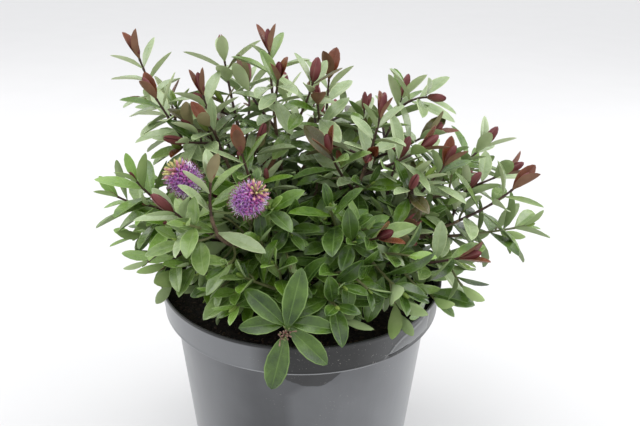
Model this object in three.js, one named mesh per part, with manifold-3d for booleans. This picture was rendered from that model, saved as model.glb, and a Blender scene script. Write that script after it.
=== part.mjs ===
// A hebe shrub growing in a round nursery container.
//
// The container is a thin, tapering plastic pot with a wide band round its rim and drain holes in its base,
// and it is filled with potting compost. A short woody stem stands in the middle and forks into slender
// boughs, which lean out and rise. Each bough carries one mass of foliage: a leading shoot that grows on
// from the bough's tip, side shoots that leave it at the golden angle, and leaves in opposite pairs, each
// pair a quarter turn from the one before. Every shoot ends in a closed bud. Two of the shoots in front
// carry a flower head.
//
// Millimetres, +Z up. The origin is the centre of the container's flat underside, and -Y is the front.

import * as THREE from "three";
import { mergeVertices } from "three/addons/utils/BufferGeometryUtils.js";
import Module from "manifold-3d";

const wasm = await Module();
wasm.setup();

// ---------------------------------------------------------------- driving dimensions

const CLEARANCE = 0.3; // between neighbours that touch on the real plant
const SHORTEST_EDGE = 0.15; // a shorter edge left by joining solids is drawn to a point

const POT = {
  rimRadius: 140,
  height: 230,
  bandHeight: 29, // the wide band round the rim
  bandFootRadius: 137,
  neckRadius: 128, // the body just under the band
  baseRadius: 111,
  wall: 2,
  floor: 2.5,
  baseRound: 5,
  drainHoles: 6,
  drainRadius: 8,
  drainRing: 84,
  segments: 32,
};

const COMPOST = { edgeHeight: 212, crownHeight: 216, crownRadius: 26, unevenness: 1.6 };

const STEM = {
  height: 52,
  footRadius: 14,
  neckRadius: 10,
  topRadius: 8,
  flareHeight: 13,
  leanDeg: 3,
  sides: 10,
};

const BOUGH = { footRadius: 2.9, forkRadius: 2.2, outreach: 46, lift: 14, sides: 4, segments: 3 };
const FORK_SHARE = 0.36; // how far along the line from stem to bud the bough gives way to its foliage
const RING_HEIGHTS = [13, 28.5, 44]; // where the boughs leave the stem, above the compost

const SHOOT = { footRadius: 1.9, sideFootRadius: 1.5, tipRadius: 1.1, sides: 3, segments: 3 };
const SIDE = { offset: 48, drop: 34, first: 0.08, last: 0.55, lowest: 250, bulge: 0.16 };
const LOW = {
  first: 0.03,
  step: 0.08,
  spread: 30,
  reachShare: 0.86,
  least: 92,
  most: 158,
  height: 250,
  rise: 40,
  arch: 14,
};
const SHOOT_GAP = 8; // least distance between the middles of two shoots
const GOLDEN_ANGLE = 137.5;

const LEAF = { length: 54, widthShare: 0.4, widest: 0.52, thicknessShare: 0.018, droop: 0.14 };
const PAIR = { first: 6, gap: 19.5, lastFromFoot: 10, closed: 30, open: 84, openingPairs: 1.6 };
const BUD = { length: 24, radius: 4, sides: 3, seat: 4 };
const FLOWER = { radius: 16, sides: 7, rings: 5, stalkRadius: 1.3 };

const SPACE_SLACK = 14; // how far a leaf may reach past the middle between its own shoots and the next mass's
const LEAF_GAP = 1.5; // least distance between two leaves' middle surfaces
const LEAF_TURNS = [0, 14, -14, 28, -28]; // degrees round the shoot that a crowded leaf tries
const LEAF_SCALES = [1, 0.85, 0.7];

// Each mass of foliage by its leading bud: the bearing from +X in degrees, the reach from the container's
// axis and the height above its underside. Then how high the bough arches, the turn of its first side
// shoot, how many side shoots it has near the top, and how many low ones, which spread out over the
// compost.
const MASSES = [
  { name: "left_tall", bearing: 169, reach: 163, height: 452, arch: 0, turn: 40, sides: 2, low: 1 },
  { name: "left_rear", bearing: 145, reach: 100, height: 451, arch: 0, turn: 200, sides: 2, low: 1 },
  { name: "centre", bearing: 139, reach: 45, height: 461, arch: 0, turn: 120, sides: 3, low: 0 },
  { name: "centre_right", bearing: 61, reach: 50, height: 434, arch: 0, turn: 300, sides: 3, low: 0 },
  { name: "right_rear", bearing: 40, reach: 138, height: 410, arch: 0, turn: 80, sides: 3, low: 1 },
  { name: "right_inner", bearing: 349, reach: 74, height: 412, arch: 0, turn: 150, sides: 3, low: 0 },
  { name: "left_inner", bearing: 180, reach: 95, height: 426, arch: 0, turn: 60, sides: 3, low: 0 },
  { name: "front_inner", bearing: 222, reach: 74, height: 387, arch: 0, turn: 10, sides: 3, low: 1 },
  { name: "front_left", bearing: 236, reach: 120, height: 381, arch: 0, turn: 250, sides: 2, low: 2 },
  { name: "left", bearing: 198, reach: 158, height: 348, arch: 0, turn: 100, sides: 3, low: 1 },
  { name: "right", bearing: 351, reach: 140, height: 369, arch: 0, turn: 30, sides: 2, low: 1 },
  { name: "right_far", bearing: 354, reach: 209, height: 344, arch: 0, turn: 270, sides: 2, low: 1 },
  { name: "right_back", bearing: 17, reach: 205, height: 364, arch: 0, turn: 190, sides: 2, low: 1 },
  { name: "right_low", bearing: 334, reach: 176, height: 290, arch: 10, turn: 110, sides: 2, low: 1 },
  { name: "front", bearing: 267, reach: 158, height: 250, arch: 38, turn: 20, sides: 2, low: 2 },
  { name: "front_right", bearing: 306, reach: 130, height: 322, arch: 10, turn: 330, sides: 3, low: 1 },
  { name: "front_low_left", bearing: 244, reach: 128, height: 262, arch: 24, turn: 90, sides: 2, low: 1 },
  { name: "front_low_right", bearing: 287, reach: 120, height: 274, arch: 20, turn: 240, sides: 1, low: 1 },
  { name: "left_low", bearing: 221, reach: 138, height: 278, arch: 20, turn: 140, sides: 2, low: 1 },
  { name: "back_left", bearing: 133, reach: 172, height: 372, arch: 0, turn: 75, sides: 2, low: 1 },
  { name: "back", bearing: 100, reach: 150, height: 398, arch: 0, turn: 210, sides: 3, low: 1 },
  { name: "back_right", bearing: 66, reach: 178, height: 352, arch: 0, turn: 160, sides: 2, low: 1 },
  { name: "left_back_low", bearing: 160, reach: 148, height: 286, arch: 14, turn: 35, sides: 1, low: 1 },
  { name: "right_back_low", bearing: 36, reach: 165, height: 292, arch: 14, turn: 125, sides: 1, low: 1 },
  { name: "back_low", bearing: 112, reach: 182, height: 288, arch: 15, turn: 45, sides: 2, low: 1 },
];

// A flower head leaves the leading shoot of a mass this far below its bud. Its foot and tip are given as
// the masses are.
const FLOWERS = [
  { on: "front_left", below: 44, foot: [230, 128, 349], tip: [226, 145, 375] },
  { on: "front_left", below: 44, foot: [243, 115, 334], tip: [258, 123, 366] },
];

// ---------------------------------------------------------------- small helpers

const radians = THREE.MathUtils.degToRad;
const UP = new THREE.Vector3(0, 0, 1);

// The same seeded numbers from 0 to 1 in any language.
function seeded(seed) {
  let state = seed >>> 0;
  return () => {
    state = (state + 0x6d2b79f5) >>> 0;
    let t = Math.imul(state ^ (state >>> 15), state | 1);
    t ^= t + Math.imul(t ^ (t >>> 7), t | 61);
    return ((t ^ (t >>> 14)) >>> 0) / 4294967296;
  };
}

function cylindrical(bearing, reach, height) {
  const a = radians(bearing);
  return new THREE.Vector3(reach * Math.cos(a), reach * Math.sin(a), height);
}

// Two unit vectors square to a direction: "across" is level, and "over" leans up.
function squareTo(direction) {
  const level = new THREE.Vector3().crossVectors(UP, direction);
  const across = level.lengthSq() > 1e-6 ? level.normalize() : new THREE.Vector3(1, 0, 0);
  return { across, over: new THREE.Vector3().crossVectors(direction, across).normalize() };
}

function around(direction, degrees) {
  const { across, over } = squareTo(direction);
  const a = radians(degrees);
  return across.multiplyScalar(Math.cos(a)).add(over.multiplyScalar(Math.sin(a)));
}

function material(color, roughness, metalness = 0) {
  return new THREE.MeshStandardMaterial({ color, roughness, metalness });
}

// ---------------------------------------------------------------- solids: joining and cutting

function solidOf(geometry) {
  const bare = geometry.index ? geometry.clone() : mergeVertices(geometry);
  bare.deleteAttribute("normal");
  bare.deleteAttribute("uv");
  const merged = mergeVertices(bare, 1e-4);
  const mesh = new wasm.Mesh({
    numProp: 3,
    vertProperties: new Float32Array(merged.attributes.position.array),
    triVerts: new Uint32Array(merged.index.array),
  });
  return new wasm.Manifold(mesh);
}

// The largest body only, so that a loose scrap or the skin of a sealed hollow is dropped.
function largestBody(solid) {
  return solid.decompose().reduce((best, body) => (body.volume() > best.volume() ? body : best));
}

// Draws every edge shorter than the least to a point, wherever the surface stays closed, because joining
// thin blades to a round bar leaves slivers.
function withoutSlivers(mesh, least) {
  const point = (i) => new THREE.Vector3().fromArray(mesh.vertProperties, i * mesh.numProp);
  const points = Array.from({ length: mesh.numVert }, (_, i) => point(i));
  const faces = Array.from({ length: mesh.numTri }, (_, i) => [...mesh.triVerts.subarray(3 * i, 3 * i + 3)]);
  const facesAt = points.map(() => new Set());
  faces.forEach((face, i) => face.forEach((v) => facesAt[v].add(i)));
  const neighbours = (v) => new Set([...facesAt[v]].flatMap((i) => faces[i]));
  const collapse = (kept, gone) => {
    for (const i of [...facesAt[gone]]) {
      const dropped = faces[i].includes(kept);
      faces[i].forEach((v) => facesAt[v].delete(i));
      faces[i] = dropped ? null : faces[i].map((v) => (v === gone ? kept : v));
      if (!dropped) faces[i].forEach((v) => facesAt[v].add(i));
    }
  };
  for (let i = 0; i < faces.length; i++) {
    for (let k = 0; k < 3 && faces[i]; k++) {
      const [a, b] = [faces[i][k], faces[i][(k + 1) % 3]];
      if (points[a].distanceTo(points[b]) >= least) continue;
      const near = neighbours(b);
      if ([...neighbours(a)].filter((v) => near.has(v)).length === 4) collapse(a, b);
    }
  }
  return { points, faces: faces.filter((face) => face) };
}

function geometryOf(solid) {
  const { points, faces } = withoutSlivers(largestBody(solid).getMesh(), SHORTEST_EDGE);
  const geometry = new THREE.BufferGeometry();
  geometry.setAttribute("position", new THREE.Float32BufferAttribute(points.flatMap((p) => p.toArray()), 3));
  geometry.setIndex(faces.flat());
  return mergeVertices(geometry.toNonIndexed(), 1e-5);
}

function joined(geometries) {
  return geometryOf(geometries.map(solidOf).reduce((whole, piece) => whole.add(piece)));
}

// ---------------------------------------------------------------- container and compost

function lathe(profile, segments) {
  const geometry = new THREE.LatheGeometry(profile.map(([r, z]) => new THREE.Vector2(r, z)), segments);
  return geometry.rotateX(Math.PI / 2);
}

function bandFootHeight() {
  return POT.height - POT.bandHeight;
}

function bodyRadiusAt(z) {
  return THREE.MathUtils.mapLinear(z, 0, bandFootHeight(), POT.baseRadius, POT.neckRadius);
}

function bandRadiusAt(z) {
  return THREE.MathUtils.mapLinear(z, bandFootHeight(), POT.height, POT.bandFootRadius, POT.rimRadius);
}

function potGeometry() {
  const step = bandFootHeight();
  const lip = POT.wall / 4;
  const outside = [
    [0, 0],
    [POT.baseRadius - POT.baseRound, 0],
    [bodyRadiusAt(POT.baseRound), POT.baseRound],
    [bodyRadiusAt(step), step],
    [bandRadiusAt(step) - 0.5, step],
    [bandRadiusAt(step), step + 1],
    [POT.rimRadius, POT.height - lip],
    [POT.rimRadius - lip, POT.height],
  ];
  const inside = [
    [POT.rimRadius - POT.wall, POT.height],
    [bandRadiusAt(step) - POT.wall, step + POT.wall + 0.5],
    [bodyRadiusAt(step) - POT.wall, step - 1],
    [bodyRadiusAt(POT.floor) - POT.wall, POT.floor],
    [0, POT.floor],
  ];
  const shell = solidOf(lathe([...outside, ...inside], POT.segments));
  const drill = (index) => {
    const at = cylindrical((index * 360) / POT.drainHoles, POT.drainRing, POT.floor / 2);
    const hole = new THREE.CylinderGeometry(POT.drainRadius, POT.drainRadius, POT.floor * 3, 6);
    return solidOf(hole.rotateX(Math.PI / 2).translate(at.x, at.y, at.z));
  };
  const holes = Array.from({ length: POT.drainHoles }, (_, index) => drill(index));
  return geometryOf(holes.reduce((left, hole) => left.subtract(hole), shell));
}

function compostGeometry() {
  const gap = 0.2 + CLEARANCE;
  const step = bandFootHeight();
  const inBody = (z) => bodyRadiusAt(z) - POT.wall - gap;
  const ledge = step + POT.wall + 0.5;
  const edgeRadius = bandRadiusAt(COMPOST.edgeHeight) - POT.wall - gap - 0.3;
  const profile = [
    [0, POT.floor + CLEARANCE],
    [inBody(POT.floor + CLEARANCE), POT.floor + CLEARANCE],
    [inBody(step - 1), step - 1],
    [bandRadiusAt(step) - POT.wall - gap - 0.5, ledge + 0.8],
    [edgeRadius, COMPOST.edgeHeight],
    [edgeRadius * 0.65, COMPOST.edgeHeight + 2],
    [COMPOST.crownRadius, COMPOST.crownHeight],
    [0, COMPOST.crownHeight],
  ];
  const geometry = mergeVertices(lathe(profile, POT.segments).deleteAttribute("normal").deleteAttribute("uv"));
  const random = seeded(7);
  const at = geometry.attributes.position;
  for (let i = 0; i < at.count; i++) {
    const radius = Math.hypot(at.getX(i), at.getY(i));
    const loose = at.getZ(i) >= COMPOST.edgeHeight && radius > COMPOST.crownRadius + 1 && radius < edgeRadius - 1;
    const lift = (random() - 0.5) * 2 * COMPOST.unevenness;
    if (loose) at.setZ(i, at.getZ(i) + lift);
  }
  return geometry;
}

// ---------------------------------------------------------------- stem, boughs and shoots

const STEM_FOOT = COMPOST.crownHeight + CLEARANCE;
const STEM_LEAN = Math.tan(radians(STEM.leanDeg)); // sideways for each millimetre up, towards -X

function stemAxisAt(z) {
  return new THREE.Vector3(-STEM_LEAN * (z - STEM_FOOT), 0, z);
}

function stemGeometry(extra = 0) {
  const profile = [
    [0, -extra],
    [STEM.footRadius + extra, -extra],
    [STEM.footRadius * 0.8 + extra, STEM.flareHeight * 0.4],
    [STEM.neckRadius + extra, STEM.flareHeight],
    [STEM.topRadius + extra, STEM.height - 3],
    [STEM.topRadius * 0.6 + extra, STEM.height + extra],
    [0, STEM.height + extra],
  ];
  const shear = new THREE.Matrix4().set(1, 0, -STEM_LEAN, 0, 0, 1, 0, 0, 0, 0, 1, STEM_FOOT, 0, 0, 0, 1);
  return lathe(profile, STEM.sides).applyMatrix4(shear);
}

// A round bar bent along a curve, from one share of the curve's length to another, and tapering as it goes.
function limbGeometry(curve, from, to, footRadius, tipRadius, sides, segments) {
  const geometry = new THREE.CylinderGeometry(tipRadius, footRadius, 1, sides, segments);
  const at = geometry.attributes.position;
  for (let i = 0; i < at.count; i++) {
    const share = THREE.MathUtils.lerp(from, to, at.getY(i) + 0.5);
    const { across, over } = squareTo(curve.getTangentAt(share));
    const point = curve
      .getPointAt(share)
      .addScaledVector(over, at.getX(i))
      .addScaledVector(across, at.getZ(i));
    at.setXYZ(i, point.x, point.y, point.z);
  }
  return geometry;
}

// The boughs leave the stem in rings. Of the neighbours that lean the same way, the steepest leaves from
// the top ring and the flattest from the lowest. Round each ring the feet are evenly spaced, in order of
// bearing.
function footBearings() {
  const count = RING_HEIGHTS.length;
  const steepness = (mass) => (mass.height - STEM_FOOT) / mass.reach;
  const order = MASSES.map((_, index) => index).sort((a, b) => MASSES[a].bearing - MASSES[b].bearing);
  const rings = RING_HEIGHTS.map(() => []);
  for (let i = 0; i < order.length; i += count) {
    const neighbours = order
      .slice(i, i + count)
      .sort((a, b) => steepness(MASSES[a]) - steepness(MASSES[b]));
    neighbours.forEach((index, ring) => rings[ring].push(index));
  }
  const feet = [];
  rings.forEach((members, ring) => {
    const even = (i) => (i * 360) / members.length;
    members.sort((a, b) => MASSES[a].bearing - MASSES[b].bearing);
    const offset = members.reduce((sum, index, i) => sum + MASSES[index].bearing - even(i), 0) / members.length;
    members.forEach((index, i) => {
      feet[index] = { bearing: even(i) + offset, height: STEM_FOOT + RING_HEIGHTS[ring] };
    });
  });
  return feet;
}

// The line from the stem's axis to the leading bud: out of the stem level with its neighbours, then up.
function leadingCurve(mass, foot) {
  const start = stemAxisAt(foot.height);
  const bud = cylindrical(mass.bearing, mass.reach, mass.height);
  const out = start.clone().add(cylindrical(foot.bearing, BOUGH.outreach, BOUGH.lift));
  const risen = THREE.MathUtils.lerp(start.z, mass.height, 0.5) + mass.arch;
  const rising = cylindrical(mass.bearing, mass.reach * 0.85, risen);
  return new THREE.CubicBezierCurve3(start, out, rising, bud);
}

// A side shoot leaves the leading one, swings out, and ends beside and a little below the leading bud.
function sideCurve(mass, leading, index, random) {
  const share = THREE.MathUtils.lerp(SIDE.first, SIDE.last, (index + 0.5) / mass.sides);
  const start = leading.getPointAt(THREE.MathUtils.lerp(FORK_SHARE, 1, share));
  const along = leading.getTangentAt(1);
  const sideways = around(along, mass.turn + index * GOLDEN_ANGLE + 70 * (random() - 0.5));
  const tip = leading
    .getPointAt(1)
    .addScaledVector(sideways, SIDE.offset * (0.85 + 0.35 * random()))
    .addScaledVector(along, -SIDE.drop * (0.4 + 1.2 * random()));
  tip.z = Math.max(tip.z, SIDE.lowest);
  const middle = start.clone().lerp(tip, 0.5).addScaledVector(sideways, SIDE.bulge * start.distanceTo(tip));
  return new THREE.QuadraticBezierCurve3(start, middle, tip);
}

// A low shoot leaves the leading one near its foot and spreads out over the compost.
function lowCurve(mass, leading, index, random) {
  const start = leading.getPointAt(FORK_SHARE + LOW.first + LOW.step * index);
  const side = (index + mass.turn) % 2 ? -1 : 1;
  const bearing = mass.bearing + side * LOW.spread * (0.5 + random());
  const reach = THREE.MathUtils.clamp(mass.reach * LOW.reachShare + 30 * (random() - 0.5), LOW.least, LOW.most);
  const tip = cylindrical(bearing, reach, LOW.height + LOW.rise * random());
  const middle = start.clone().lerp(tip, 0.55).addScaledVector(UP, LOW.arch);
  return new THREE.QuadraticBezierCurve3(start, middle, tip);
}

function lineOf(curve, from) {
  const count = Math.ceil((curve.getLength() * (1 - from)) / 6);
  return Array.from({ length: count + 1 }, (_, i) => curve.getPointAt(THREE.MathUtils.lerp(from, 1, i / count)));
}

// True if a new shoot keeps clear of the others, its own first stretch apart, which leaves the leading
// shoot.
function keepsClear(curve, lines) {
  const free = lineOf(curve, 0).slice(3);
  return !free.some((p) => inContainer(p) || lines.some((line) => line.some((q) => q.distanceTo(p) < SHOOT_GAP)));
}

// Every shoot: its mass, its curve, where on the curve it starts, and its seed. The leading shoots come
// first. A side shoot that finds no clear way in a few tries is left out.
function growShoots(feet) {
  const shoots = [];
  const lines = [];
  const grow = (massIndex, curve, from, random) => {
    const length = curve.getLength() * (1 - from);
    const line = lineOf(curve, from);
    const key = massIndex * 100 + shoots.filter((shoot) => shoot.mass === massIndex).length;
    const roll = 360 * random();
    const vigour = 0.9 + 0.2 * random();
    shoots.push({ mass: massIndex, key, leading: from > 0, curve, from, length, line, roll, vigour });
    lines.push(lineOf(curve, 0));
  };
  MASSES.forEach((mass, i) => grow(i, leadingCurve(mass, feet[i]), FORK_SHARE, seeded(100 + i)));
  const leadings = shoots.map((shoot) => shoot.curve);
  for (const [kind, count, seed] of [[sideCurve, "sides", 200], [lowCurve, "low", 300]]) {
    MASSES.forEach((mass, i) => {
      const random = seeded(seed + i);
      for (let n = 0; n < mass[count]; n++) {
        const tries = Array.from({ length: 6 }, () => kind(mass, leadings[i], n, random));
        const curve = tries.find((candidate) => keepsClear(candidate, lines));
        if (curve) grow(i, curve, 0, random);
      }
    });
  }
  return shoots;
}

// ---------------------------------------------------------------- leaves, buds and flower heads

function shareBelowTip(shoot, distance) {
  return 1 - (distance / shoot.length) * (1 - shoot.from);
}

function footRadiusOf(shoot) {
  return shoot.leading ? SHOOT.footRadius : SHOOT.sideFootRadius;
}

// The leaf pairs of a shoot, from the tip down: the share of the curve, how far the pair opens, and its
// leaf length.
function pairsOf(shoot) {
  const pairs = [];
  for (let n = 0; ; n++) {
    const fromTip = BUD.length + PAIR.first + n * PAIR.gap;
    if (fromTip > shoot.length - PAIR.lastFromFoot) return pairs;
    const share = shareBelowTip(shoot, fromTip);
    const opening = PAIR.open - (PAIR.open - PAIR.closed) * Math.exp(-n / PAIR.openingPairs);
    const grown = LEAF.length * shoot.vigour * (1 - 0.36 * Math.exp(-n / 1.2));
    pairs.push({ share, opening, length: grown, roll: shoot.roll + 90 * n });
  }
}

// A leaf's points: root, one side, tip, the other side, and the middle of the midrib.
function leafPoints(root, along, outward, opening, length) {
  const a = radians(opening);
  const forward = along.clone().multiplyScalar(Math.cos(a)).addScaledVector(outward, Math.sin(a));
  const face = along.clone().multiplyScalar(Math.sin(a)).addScaledVector(outward, -Math.cos(a));
  const across = new THREE.Vector3().crossVectors(face, forward);
  const halfWidth = (length * LEAF.widthShare) / 2;
  const put = (share, wide) =>
    root
      .clone()
      .addScaledVector(forward, share * length)
      .addScaledVector(across, wide * halfWidth)
      .addScaledVector(face, -share * share * length * LEAF.droop);
  const rim = [put(0, 0), put(LEAF.widest, 1), put(1, 0), put(LEAF.widest, -1)];
  return { rim, middle: put(LEAF.widest, 0), face, length };
}

// A thin blade of six faces: two below, bent where the leaf is widest, and four above, rising to the
// midrib.
function leafGeometry(leaf) {
  const top = leaf.middle.clone().addScaledVector(leaf.face, leaf.length * LEAF.thicknessShare);
  const corners = [...leaf.rim, top];
  const faces = [1, 0, 4, 2, 1, 4, 3, 2, 4, 0, 3, 4, 0, 1, 3, 1, 2, 3];
  const geometry = new THREE.BufferGeometry();
  geometry.setAttribute("position", new THREE.Float32BufferAttribute(corners.flatMap((c) => c.toArray()), 3));
  return geometry.setIndex(faces);
}

// A closed bud: a slim spindle whose root is sunk in the shoot's tip.
function budGeometry(shoot) {
  const tip = shoot.curve.getPointAt(1);
  const along = shoot.curve.getTangentAt(1);
  const { across, over } = squareTo(along);
  const profile = [
    [0, -BUD.length - BUD.seat],
    [BUD.radius, -BUD.length * 0.55],
    [0, 0],
  ];
  const frame = new THREE.Matrix4().makeBasis(over, across.negate(), along).setPosition(tip);
  return lathe(profile, BUD.sides).applyMatrix4(frame);
}

function flowerEnds(flower) {
  return { foot: cylindrical(...flower.foot), tip: cylindrical(...flower.tip) };
}

// A flower head: a blunt cone of florets, drawn as a burr whose points stand out by turns, on a thin stalk.
function flowerGeometries(flower, shoot) {
  const { foot, tip } = flowerEnds(flower);
  const start = shoot.curve.getPointAt(shareBelowTip(shoot, flower.below));
  const along = tip.clone().sub(foot).normalize();
  const length = tip.distanceTo(foot);
  const middle = start.clone().lerp(foot, 0.5).addScaledVector(along, -4);
  const stalkTip = foot.clone().addScaledVector(along, length * 0.3);
  const stalkCurve = new THREE.QuadraticBezierCurve3(start, middle, stalkTip);
  const stalk = limbGeometry(stalkCurve, 0, 1, FLOWER.stalkRadius, FLOWER.stalkRadius * 0.8, SHOOT.sides, 3);
  const { across, over } = squareTo(along);
  const outline = (share) => FLOWER.radius * Math.sqrt(Math.sin(Math.PI * Math.pow(share, 0.8)));
  const burr = new THREE.SphereGeometry(1, FLOWER.sides * 2, FLOWER.rings);
  const at = burr.attributes.position;
  for (let i = 0; i < at.count; i++) {
    const share = 1 - Math.acos(THREE.MathUtils.clamp(at.getY(i), -1, 1)) / Math.PI;
    const ring = Math.round(share * FLOWER.rings);
    const angle = Math.atan2(at.getZ(i), at.getX(i));
    const spoke = Math.round((angle / Math.PI) * FLOWER.sides);
    const radius = ring === 0 || ring === FLOWER.rings ? 0 : outline(share) * ((spoke + ring) % 2 ? 0.72 : 1);
    const point = foot
      .clone()
      .addScaledVector(along, share * length)
      .addScaledVector(over, radius * Math.cos(angle))
      .addScaledVector(across, radius * Math.sin(angle));
    at.setXYZ(i, point.x, point.y, point.z);
  }
  return [stalk, burr];
}

// ---------------------------------------------------------------- keeping each leaf to its space

// A limb is watched as beads along it, so that a leaf can be kept off them.
function beadsAlong(curve, from, to, footRadius, tipRadius, owner) {
  const count = Math.ceil((curve.getLength() * (to - from)) / 2.5);
  return Array.from({ length: count + 1 }, (_, i) => {
    const share = i / count;
    return {
      at: curve.getPointAt(THREE.MathUtils.lerp(from, to, share)),
      radius: THREE.MathUtils.lerp(footRadius, tipRadius, share),
      owner,
    };
  });
}

function trianglesOf(leaf) {
  return leaf.rim.map((corner, i) => new THREE.Triangle(corner, leaf.rim[(i + 1) % leaf.rim.length], leaf.middle));
}

function edgesOf(leaf) {
  return leaf.rim.flatMap((corner, i) => [
    [corner, leaf.rim[(i + 1) % leaf.rim.length]],
    [corner, leaf.middle],
  ]);
}

const scratch = { ray: new THREE.Ray(), hit: new THREE.Vector3(), near: new THREE.Vector3() };

function crosses([a, b], triangle) {
  const length = a.distanceTo(b);
  scratch.ray.origin.copy(a);
  scratch.ray.direction.copy(b).sub(a).divideScalar(length);
  const hit = scratch.ray.intersectTriangle(triangle.a, triangle.b, triangle.c, false, scratch.hit);
  return hit !== null && hit.distanceTo(a) <= length;
}

function nearerThan(point, triangle, distance) {
  return triangle.closestPointToPoint(point, scratch.near).distanceTo(point) < distance;
}

function leavesTouch(one, other) {
  if (one.middle.distanceTo(other.middle) > (one.length + other.length) * 0.56) return false;
  const pairs = [
    [one, other],
    [other, one],
  ];
  return pairs.some(
    ([a, b]) =>
      b.triangles.some((t) => [...a.rim, a.middle].some((p) => nearerThan(p, t, LEAF_GAP))) ||
      b.triangles.some((t) => a.edges.some((s) => crosses(s, t))),
  );
}

function leafTouchesBead(leaf, bead) {
  if (bead.at.distanceTo(leaf.middle) > leaf.length * 0.6 + bead.radius) return false;
  return leaf.triangles.some((t) => nearerThan(bead.at, t, bead.radius + LEAF_GAP));
}

// True if a point lies in or too near the container or the compost.
function inContainer(p) {
  const margin = 1.5;
  const radius = Math.hypot(p.x, p.y);
  if (p.z > POT.height + margin || radius > POT.rimRadius + margin) return false;
  const insideWall = radius < POT.bandFootRadius - POT.wall - margin - 1;
  const compostTop = COMPOST.crownHeight + COMPOST.unevenness;
  return !(insideWall && p.z > compostTop + margin);
}

function distanceToShoots(point, shoots) {
  return Math.min(...shoots.flatMap((shoot) => shoot.line.map((p) => p.distanceTo(point))));
}

// A leaf keeps to its mass's space: no point of it may lie much nearer to another mass's shoots than to its
// own.
function inSpace(leaf, massIndex, allShoots) {
  const own = allShoots.filter((shoot) => shoot.mass === massIndex);
  const others = allShoots.filter((shoot) => shoot.mass !== massIndex);
  return leaf.rim.every((p) => distanceToShoots(p, own) < distanceToShoots(p, others) + SPACE_SLACK);
}

function leafFits(leaf, shoot, pair, standing) {
  const edgeStops = edgesOf(leaf).flatMap(([a, b]) => [0, 0.33, 0.67, 1].map((share) => a.clone().lerp(b, share)));
  if (edgeStops.some(inContainer)) return false;
  const root = leaf.rim[0];
  const nearRoot = (bead) => bead.owner === shoot.key || bead.at.distanceTo(root) < 5;
  if (standing.beads.some((bead) => !nearRoot(bead) && leafTouchesBead(leaf, bead))) return false;
  if (standing.leaves.some((other) => !(other.key === pair.key) && leavesTouch(leaf, other))) return false;
  return inSpace(leaf, shoot.mass, standing.shoots);
}

// Places the two leaves of every pair. A crowded leaf turns a little or grows smaller, and is left out if
// that fails.
function growLeaves(shoot, standing) {
  pairsOf(shoot).forEach((pair, n) => {
    pair.key = shoot.key * 100 + n;
    const along = shoot.curve.getTangentAt(pair.share);
    const on = shoot.curve.getPointAt(pair.share);
    for (const half of [0, 1]) {
      const root = on.clone().addScaledVector(along, half ? 0.35 : -0.35);
      const grow = (turn, scale) => {
        const outward = around(along, pair.roll + 180 * half + turn);
        const leaf = leafPoints(root, along, outward, pair.opening, pair.length * scale);
        return { ...leaf, triangles: trianglesOf(leaf), edges: edgesOf(leaf), key: pair.key, mass: shoot.mass };
      };
      const tries = LEAF_SCALES.flatMap((scale) => LEAF_TURNS.map((turn) => [turn, scale]));
      for (const [turn, scale] of tries) {
        const leaf = grow(turn, scale);
        if (!leafFits(leaf, shoot, pair, standing)) continue;
        standing.leaves.push(leaf);
        break;
      }
    }
  });
}

// ---------------------------------------------------------------- assembly

const plant = new THREE.Group();

function add(name, geometry, finish) {
  const mesh = new THREE.Mesh(geometry, finish);
  mesh.name = name;
  plant.add(mesh);
}

const PLASTIC = material(0x3a3d41, 0.5);
const PEAT = material(0x2a211b, 0.95);
const BARK = material(0x5a4638, 0.85);
const GREEN = material(0x6d8f52, 0.5);

add("pot", potGeometry(), PLASTIC);
add("potting_compost", compostGeometry(), PEAT);
add("short_stem", geometryOf(solidOf(stemGeometry())), BARK);

const feet = footBearings();
const stemRoom = solidOf(stemGeometry(CLEARANCE));
const shoots = growShoots(feet);
const standing = { beads: [], leaves: [], shoots };

for (const shoot of shoots) {
  const radii = [footRadiusOf(shoot), BUD.radius * 0.6];
  standing.beads.push(...beadsAlong(shoot.curve, shoot.from, 1, ...radii, shoot.key));
}
MASSES.forEach((mass, i) => {
  const leading = shoots.find((shoot) => shoot.mass === i && shoot.leading);
  standing.beads.push(...beadsAlong(leading.curve, 0, FORK_SHARE, BOUGH.footRadius, BOUGH.forkRadius, -1));
});
for (const flower of FLOWERS) {
  const { foot, tip } = flowerEnds(flower);
  const axis = new THREE.LineCurve3(foot.clone().lerp(tip, 0.2), foot.clone().lerp(tip, 0.8));
  standing.beads.push(...beadsAlong(axis, 0, 1, FLOWER.radius, FLOWER.radius * 0.9, -2));
}

for (const shoot of shoots) growLeaves(shoot, standing);

MASSES.forEach((mass, i) => {
  const own = shoots.filter((shoot) => shoot.mass === i);
  const leading = own[0];
  const gapShare = CLEARANCE / leading.curve.getLength();
  const bough = limbGeometry(
    leading.curve, 0, FORK_SHARE - gapShare, BOUGH.footRadius, BOUGH.forkRadius, BOUGH.sides, BOUGH.segments,
  );
  add("bough_" + mass.name, geometryOf(solidOf(bough).subtract(stemRoom)), BARK);

  const twigs = own.map((shoot) => {
    const end = shareBelowTip(shoot, BUD.length * 0.8);
    const radii = [footRadiusOf(shoot), SHOOT.tipRadius];
    return limbGeometry(shoot.curve, shoot.from, end, ...radii, SHOOT.sides, SHOOT.segments);
  });
  const buds = own.map(budGeometry);
  const blades = standing.leaves.filter((leaf) => leaf.mass === i).map(leafGeometry);
  const flowers = FLOWERS.filter((f) => f.on === mass.name).flatMap((f) => flowerGeometries(f, leading));
  add("foliage_" + mass.name, joined([...twigs, ...buds, ...blades, ...flowers]), GREEN);
});

export default plant;
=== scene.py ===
"""A hebe shrub in its nursery pot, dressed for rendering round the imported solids.

The sections follow the plant as it is put together: pot, compost, the rule of its growth, stem and boughs,
shoots, leaves, leaf buds and flower heads. Its sizes are in millimetres, as in the part's source, and MM
turns them to metres.
"""

import math
from collections import namedtuple

import bpy
import numpy as np
from mathutils import Matrix, Vector


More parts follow.
